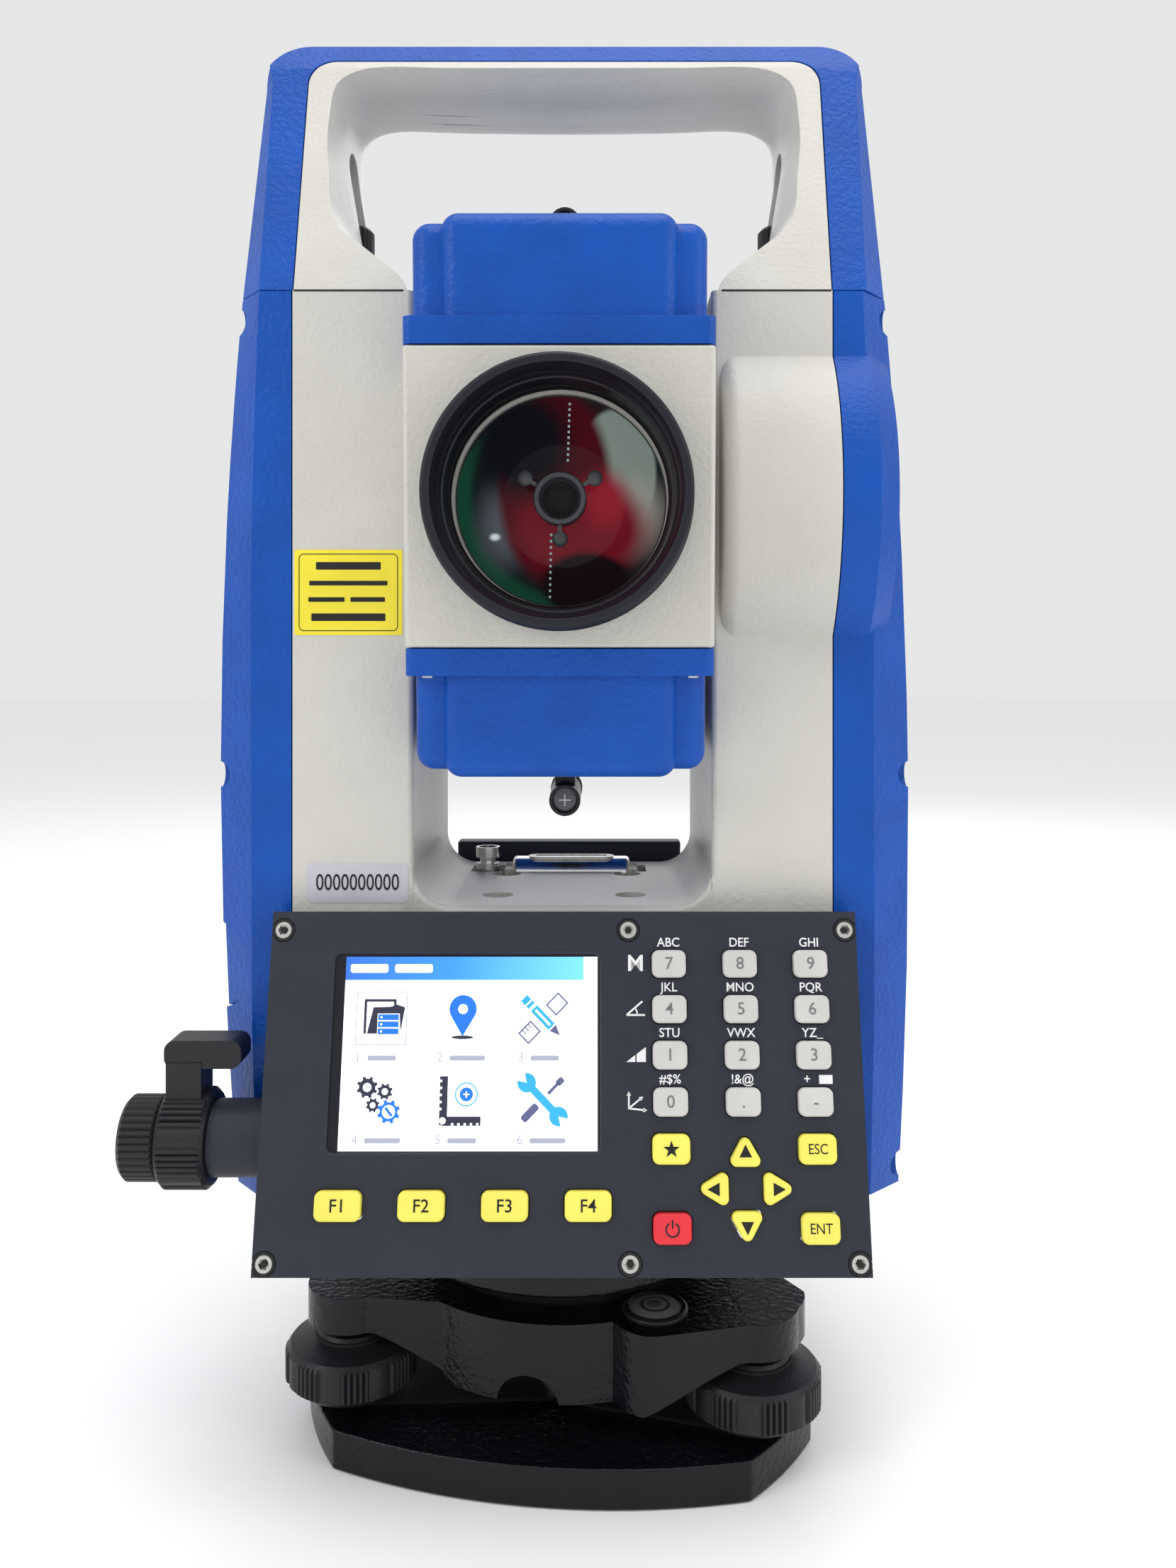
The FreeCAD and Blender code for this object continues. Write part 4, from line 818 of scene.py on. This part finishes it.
LENS_RADIUS = 24.4
LENS_STEPS = 96
LENS_SEAT = -58                                     # plane the parts of the objective are measured from
SIGHTS = ((73.6, -7.5, 18), (-73.6, -17.5, 8))      # height, front end and rear end of each collimator


def scope_at(y, z=0.0):
    """A matrix on the telescope, y and z in millimetres from the trunnion, Z axis towards the objective."""
    return SCOPE @ at(0, y, z) @ Matrix.Rotation(math.pi / 2, 4, "X")


def glass_level(radius):
    """Height of the domed objective's face."""
    return -6.2 - 3.8 * (radius / LENS_RADIUS) ** 2


def objective():
    """Domed coated glass with its glowing painted reflections and painted glints, thread rings in the hood and the
    emitter tube that stands in the glass.
    """
    front = scope_at(LENS_SEAT)
    glass_part = ("telescope", "lens_glass")
    black_part = ("telescope", "black_anodised")
    dome = [(LENS_RADIUS * i / 12, glass_level(LENS_RADIUS * i / 12)) for i in range(13)]
    dome += [(LENS_RADIUS, -13.0), (0, -13.0)]
    lens = turned_piece("objective_glass", front, dome, LENS_STEPS, LENS, *glass_part, closed=False)
    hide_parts("objective_lens")

    rings = bmesh.new()
    for i in range(8):
        h = 1.6 + 1.15 * i
        add_lathe(rings, front, [(25.1, h), (24.6, h + 0.35), (24.6, h + 0.6), (25.1, h + 0.9)], LENS_STEPS)
    make_piece("hood_thread_rings", rings, HOOD_BLACK, *black_part)
    profile = [(24.9, -0.9), (24.9, 1.0), (24.3, 1.0), (23.9, 0.3), (24.2, -0.9)]
    turned_piece("objective_retaining_ring", front, profile, LENS_STEPS, ANODISED, *black_part)
    profile = [(24.5, -9.9), (24.5, -8.9), (24.25, -8.7), (23.7, -9.5)]
    turned_piece("objective_seat_ring", front, profile, LENS_STEPS, EMITTER_GREY, *black_part)

    # Painted glints: short glowing strips standing on the glass as highlights.
    strips = bmesh.new()
    count = 11
    for x, low, high in ((1.6, 8.4, 22.6), (-2.6, -22.4, -7.0)):
        for i in range(count):
            y = low + (high - low) * (i + 0.5) / count
            level = glass_level(math.hypot(x, y))
            glint = rectangle(x + 0.03 * (y - low), y, 0.5, 0.55, 0.1)
            add_slab(strips, front, glint, level - 0.3, level + 0.12)
    make_piece("objective_painted_glints", strips, GLINT, *glass_part)

    wall = [(5.9, -12.0), (5.9, 0.6), (5.6, 1.0), (4.7, 1.0), (4.4, 0.6), (4.4, -2.4), (4.0, -2.8),
            (4.0, -12.0)]
    turned_piece("emitter_tube", front, wall, 64, EMITTER_GREY, *black_part)
    # The emitter's window, as a black disc deep in the tube: painted shade for the dark inside of the tube.
    window = [(0, -5.2), (4.3, -5.2), (4.3, -5.8), (0, -5.8)]
    turned_piece("emitter_window", front, window, 48, SEAL, *black_part, closed=False)
    struts = bmesh.new()
    pad = [(0, -1.0), (1.75, -1.0), (1.75, 0.0), (1.3, 0.4), (0, 0.5)]
    for angle in (30, 150, 270):
        add_slab(struts, front, stroke(*polar(5.6, angle), *polar(8.2, angle), 0.9), -0.8, 0.2)
        add_lathe(struts, front @ at(*polar(8.9, angle), 0), pad, 24, closed=False)
    make_piece("emitter_struts", struts, EMITTER_GREY, *black_part)


def cap_screw(build, matrix, radius, height):
    """Round head with a hexagon socket, its Z axis out of the surface."""
    socket = hexagon(radius * 0.5)
    hole = [socket[i // 4] for i in range(24)]
    add_band(build, matrix, disc(0, 0, radius, 24), hole, 0, height)
    add_slab(build, matrix, socket, 0, height * 0.45)


def cover_screws():
    """Small screws near the corners of both telescope covers' flanges."""
    screws = bmesh.new()
    for z, turn in ((39, 0), (-39, math.pi)):
        for x in (-29.4, 29.4):
            for y in (-57.2, 35.2):
                cap_screw(screws, SCOPE @ at(x, y, z) @ Matrix.Rotation(turn, 4, "X"), 1.5, 0.6)
    make_piece("telescope_cover_screws", screws, STEEL, "telescope", "bright_steel")


def sight_glasses():
    """Glass ends of the two collimator sights, the cross in each and the collars round the tubes."""
    glass, cross, collars = bmesh.new(), bmesh.new(), bmesh.new()
    for z, near, far in SIGHTS:
        front = scope_at(near, z)
        profile = [(0, 0.02), (3.1, 0.02), (3.0, 0.3), (1.6, 0.5), (0, 0.55)]
        add_lathe(glass, front, profile, 32, closed=False)
        for line in (stroke(-1.5, 0, 1.5, 0, 0.28), stroke(0, -1.5, 0, 1.5, 0.28)):
            add_slab(cross, front, line, 0.5, 0.62)
        for h in (3.0, 6.0):
            profile = [(4.0, h), (4.0, h + 1.4), (4.25, h + 1.1), (4.25, h + 0.3)]
            add_lathe(collars, scope_at(far, z), profile, 40)
        back = SCOPE @ at(0, far, z) @ Matrix.Rotation(-math.pi / 2, 4, "X")
        add_lathe(glass, back, [(0, 0.5), (1.6, 0.4), (2.6, 0.02), (0, 0.0)], 32, closed=False)
    make_piece("sight_glasses", glass, VIAL_DARK, "telescope", "lens_glass")
    make_piece("sight_crosses", cross, PRINT_WHITE, "telescope", "black_anodised")
    make_piece("sight_collars", collars, ANODISED, "telescope", "black_anodised")


def eyepiece_details():
    """Ocular lens, its rubber lip and the dioptre marks."""
    back = SCOPE @ Matrix.Rotation(-math.pi / 2, 4, "X")
    profile = [(6.9, 84.5), (5.0, 85.4), (2.5, 85.9), (0, 86.0)]
    turned_piece("ocular_glass", back, profile, 40, GLASS, "eyepiece", "lens_glass", closed=False)
    profile = [(7.0, 84.0), (7.0, 87.6), (7.8, 88.3), (8.7, 88.1), (9.4, 87.0), (9.6, 86.2)]
    turned_piece("eyepiece_lip", back, profile, 48, SEAL, "eyepiece", "black_knob")
    marks = bmesh.new()
    centre = back @ (Vector((0, 0, 80)) * MM)
    for i in range(9):
        point = back @ (Vector((*polar(11.9, 60 + 7.5 * i), 80)) * MM)
        place = facing(point, point - centre, back.to_3x3() @ Vector((0, 0, 1)))
        length = 2.4 if i % 4 == 0 else 1.5
        add_slab(marks, place, rectangle(0, 0, 0.35, length), -0.1, 0.08)
    make_piece("dioptre_marks", marks, PRINT_WHITE, "eyepiece", "black_knob")


# ---------------------------------------------------------------- levels

def tubular_level():
    """Glass vial in the slot of the plate level, with bubble and graduations."""
    place = at(1.0, 22.0, FLOOR_Z / MM + 2.35)
    part = ("alidade", "level_chrome")
    slab_piece("level_vial", place, rectangle(0, 0, 21, 4.4, 1.6), 0, 0.95, VIAL, *part)
    rim = bmesh.new()
    add_band(rim, place, rectangle(0, 0, 24, 6.2, 2.4), rectangle(0, 0, 20, 3.6, 1.4), 0.5, 1.3)
    make_piece("level_window_rim", rim, NICKEL, *part)
    slab_piece("level_bubble", place, rectangle(0, 0, 6.4, 2.2, 1.09), 0.9, 1.02, BUBBLE, *part)
    marks = bmesh.new()
    for i in (1, 2, 3):
        for side in (-1, 1):
            add_slab(marks, place, rectangle(side * (2.3 + 1.7 * i), 0, 0.28, 3.4), 0.9, 1.05)
    make_piece("level_marks", marks, PRINT_BLACK, *part)


def capstan_post():
    """Bright cap of the capstan post and its cross slots, drawn as flush black strips that paint the shade in the
    slots.
    """
    place = at(-22.5, 20.5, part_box("plate_level")[1].z / MM)
    part = ("alidade", "bright_steel")
    cap = [(0, 0.0), (2.6, 0.0), (3.2, -0.5), (3.35, -1.2), (3.35, -2.4), (0, -2.4)]
    turned_piece("capstan_cap", place, cap, 40, STEEL, *part, closed=False)
    # Painted shade of the cross slots: black strips, not cut grooves.
    slots = bmesh.new()
    for line in (stroke(-2.4, 0, 2.4, 0, 0.6), stroke(0, -2.4, 0, 2.4, 0.6)):
        add_slab(slots, place, line, -0.3, 0.01)
    make_piece("capstan_slots", slots, PRINT_BLACK, *part)


def round_level():
    """Grey glass, centring ring and bubble of the circular level; the grey glass and the dark bubble are painted
    shade over the level's liquid.
    """
    low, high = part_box("circular_level")
    middle = (low + high) / 2
    place = Matrix.Translation((middle.x, middle.y, low.z))
    glass_part = ("tribrach", "lens_glass")
    profile = [(6.3, 1.12), (5.2, 1.45), (2.6, 1.72), (0, 1.8)]
    turned_piece("round_level_glass", place, profile, 64, LEVEL_GLASS_PAINTED_SHADE, *glass_part, closed=False)
    profile = [(3.0, 1.66), (3.0, 1.76), (3.45, 1.70), (3.45, 1.60)]
    turned_piece("round_level_ring", place, profile, 48, PRINT_BLACK, "tribrach", "black_anodised")
    # The bubble is dark as painted shade.
    profile = [(0, 2.0), (1.2, 1.93), (1.8, 1.78), (1.9, 1.66)]
    turned_piece("round_level_bubble", place, profile, 40, VIAL_DARK, *glass_part, closed=False)


# ---------------------------------------------------------------- tribrach details

FOOTSCREWS = {"footscrew_right": -37, "footscrew_rear": 83, "footscrew_left": 203}     # degrees from +X
FOOTSCREW_CIRCLE = 57.0


def footscrew_place(name, z):
    """A place on a foot screw's axis, z in millimetres above the base plate's underside."""
    return at(*polar(FOOTSCREW_CIRCLE, FOOTSCREWS[name]), z)


def spring_plate():
    """Three-armed leaf spring that holds the foot screws' balls down on the base plate."""
    outline = []
    for angle in FOOTSCREWS.values():
        tip = polar(FOOTSCREW_CIRCLE, angle)
        outline += [polar(7.2, angle + turn, *tip) for turn in range(-90, 91, 20)]
        outline.append(polar(27, angle + 60))
    hole = [polar(17, -127 + 360 * i / len(outline)) for i in range(len(outline))]
    plate = bmesh.new()
    add_band(plate, at(0, 0, PLATE_TOP / MM), outline, hole, 0.02, 0.9)
    make_piece("spring_plate", plate, ANODISED, "base", "black_casting")
    screws = bmesh.new()
    for angle in FOOTSCREWS.values():
        cap_screw(screws, at(*polar(21, angle + 60), PLATE_TOP / MM + 0.9), 2.6, 1.4)
    make_piece("spring_plate_screws", screws, STEEL, "base", "bright_steel")


def footscrew_collars():
    """Bright washer on top of each knob and a dark ring turned into the knob."""
    washer = [(4.1, 25.8), (4.1, 26.2), (6.2, 26.2), (6.4, 26.0), (6.4, 25.8)]
    ring = [(9.2, 24.7), (9.2, 25.2), (8.2, 25.5), (8.2, 24.9)]
    for name in FOOTSCREWS:
        place = footscrew_place(name, 0)
        turned_piece(name + "_washer", place, washer, 40, STEEL, name, "bright_steel")
        turned_piece(name + "_ring", place, ring, 64, SEAL, name, "black_knob")


def arm_caps():
    """Screwed caps over the foot screws on top of the casting."""
    caps = bmesh.new()
    lid = [(0, -0.5), (6.4, -0.5), (6.4, -0.05), (5.8, -0.02), (0, -0.02)]
    for name in FOOTSCREWS:
        top = footscrew_place(name, CASTING_TOP / MM)
        add_lathe(caps, top, lid, 48, closed=False)
        add_band(caps, top, disc(0, 0, 4.2), disc(0, 0, 3.7), -0.1, 0.0)
    make_piece("footscrew_caps", caps, ANODISED, "tribrach", "black_anodised")


# ---------------------------------------------------------------- labels and standards

def labels():
    """Yellow foil label with a border and plain bars, and a grey label with a row of zeros."""
    place = facing(Vector((-50.9 * MM, STANDARD_FRONT, 206.8 * MM)), (0, -1, 0))
    foil = rectangle(0, 0, 25.6, 20.3, 0.5)
    slab_piece("yellow_label", place, foil, 0, 0.12, LABEL_YELLOW, "alidade", "key_yellow")
    ink = bmesh.new()
    add_band(ink, place, rectangle(0, 0, 23.6, 18.4, 1.2), rectangle(0, 0, 23.2, 18.0, 1.0), 0.1, 0.16)
    bars = ((0, 6.3, 15.4, 1.8), (0, 2.2, 18.6, 1.1), (-5.2, -1.7, 8.6, 1.1), (4.6, -1.7, 8.2, 1.1),
            (0, -5.9, 17.6, 1.8))
    for bar in bars:
        add_slab(ink, place, rectangle(*bar, 0.2), 0.1, 0.16)
    make_piece("yellow_label_print", ink, PRINT_BLACK, "alidade", "black_knob")

    place = facing(Vector((-48.7 * MM, STANDARD_FRONT, 137.7 * MM)), (0, -1, 0))
    foil = rectangle(0, 0, 24.0, 9.4, 1.2)
    slab_piece("grey_label", place, foil, 0, 0.12, LABEL_GREY, "alidade", "ivory_paint")
    ink = bmesh.new()
    add_text(ink, place, "0" * 10, 0, 0, 3.9, 0.1, 0.16, 0.03, 0.72)
    make_piece("grey_label_print", ink, PRINT_BLACK, "alidade", "black_knob")


def handle_gasket():
    """Dark gasket under each foot of the handle."""
    gasket = bmesh.new()
    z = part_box("handle")[0].z / MM
    for x in (-50.9, 50.9):
        outer, inner = rectangle(x, 0, 26.6, 72.24, 0.6), rectangle(x, 0, 24, 68, 0.4)
        add_band(gasket, Matrix.Identity(4), outer, inner, z - 0.3, z + 0.12)
    make_piece("handle_gasket", gasket, SEAL, "handle", "black_knob")


def latch_ridges():
    """Grip ridges on the battery latch."""
    low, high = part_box("battery_latch")
    middle = (low + high) / 2
    ridges = bmesh.new()
    for i in range(-2, 3):
        place = facing(middle + Vector((0, 0, 2.4 * i)) * MM, (-0.82, -0.57, 0))
        add_slab(ridges, place, rectangle(0, 0, 5.0 - abs(i), 0.9, 0.4), -0.4, 0.35)
    make_piece("battery_latch_ridges", ridges, BLUE, "battery_latch", "blue_paint")


def panel_screw_shade_rims():
    """Dark rims that paint the shade in the recesses round the panel screws, and the painted shadow in their
    hexagon sockets.
    """
    rims, sockets = bmesh.new(), bmesh.new()
    rim = [(1.85, -0.1), (1.85, 0.14), (2.1, 0.2), (2.45, 0.2), (2.6, 0.02), (2.6, -0.1)]
    for panel in (PANEL, HALF_TURN @ PANEL):
        for u in SCREW_COLUMNS:
            for v in SCREW_ROWS:
                add_lathe(rims, panel @ at(u, v, 0), rim, 40)
                add_slab(sockets, panel @ at(u, v, 0), hexagon(0.85), -0.6, 0.12)
    make_piece("panel_screw_shade_rims", rims, SEAL, "alidade", "panel_anthracite")
    make_piece("panel_screw_sockets", sockets, SEAL, "alidade", "bright_steel")


def rear_sill():
    """Raised top edge of the rear keypad's housing, seen over the floor between the standards."""
    low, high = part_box("rear_panel")
    bottom, top = high.z / MM - 3, FLOOR_Z / MM + 5.4
    outline = rectangle(0, low.y / MM + 5.5, 66, 7.0, 1.0)
    slab = slab_piece("rear_panel_sill", Matrix.Identity(4), outline, bottom, top,
                      ANTHRACITE, "alidade", "panel_anthracite")
    bevel(slab, 0.6, 3)


# ---------------------------------------------------------------- stage

LIGHT_AIM = Vector((0, 0, 0.18))


def make_stage():
    """A wide pale floor just under the base plate, in an even pale world."""
    disc_build = bmesh.new()
    bmesh.ops.create_circle(disc_build, cap_ends=True, segments=96, radius=9)
    mesh = bpy.data.meshes.new("floor")
    disc_build.to_mesh(mesh)
    disc_build.free()
    floor = bpy.data.objects.new("floor", mesh)
    floor.location.z = -0.0002
    bpy.context.scene.collection.objects.link(floor)
    mesh.materials.append(new_material("floor_pale", (0.97, 0.97, 0.97), 0.8))

    world = bpy.data.worlds.new("studio")
    world.use_nodes = True
    sky = world.node_tree.nodes["Background"]
    sky.inputs["Color"].default_value = (0.99, 0.995, 1.0, 1)
    sky.inputs["Strength"].default_value = 0.80
    bpy.context.scene.world = world
    bpy.context.scene.view_settings.view_transform = "Standard"


def area_light(name, place, size, power, colour=(1, 1, 1)):
    """A square lamp aimed at the middle of the instrument; size in metres, power in watts."""
    light = bpy.data.lights.new(name, "AREA")
    light.energy = power
    light.size = size
    light.color = colour
    lamp = bpy.data.objects.new(name, light)
    lamp.location = place
    lamp.rotation_euler = (LIGHT_AIM - Vector(place)).to_track_quat("-Z", "Y").to_euler()
    bpy.context.scene.collection.objects.link(lamp)


def make_lights():
    area_light("overhead", (0.1, -0.25, 1.3), 0.9, 6.5, (1.0, 0.98, 0.95))
    area_light("left", (-0.95, -0.75, 0.75), 0.5, 3.8)
    area_light("right", (1.0, -0.55, 0.55), 0.6, 2.2)
    area_light("back", (0.2, 1.1, 0.9), 0.8, 3)


def make_camera():
    """Level camera at the height of the telescope's lower half, shifted to frame the whole instrument."""
    data = bpy.data.cameras.new("camera")
    data.lens = 29.16
    data.sensor_width = 36
    data.shift_x = -0.0052
    data.shift_y = -0.0723
    data.clip_start = 0.01
    camera = bpy.data.objects.new("camera", data)
    camera.location = (0.008, -0.338, 0.1882)
    camera.rotation_euler = (math.pi / 2, 0, 0)
    bpy.context.scene.collection.objects.link(camera)
    bpy.context.scene.camera = camera


# ---------------------------------------------------------------- assembly

finish_nodes()
tint_rear_keys()
keypad_print("front", PANEL)
keypad_print("rear", HALF_TURN @ PANEL)
screens()
objective()
cover_screws()
sight_glasses()
eyepiece_details()
tubular_level()
capstan_post()
round_level()
spring_plate()
footscrew_collars()
arm_caps()
labels()
handle_gasket()
panel_screw_shade_rims()
rear_sill()
latch_ridges()
make_stage()
make_lights()
make_camera()
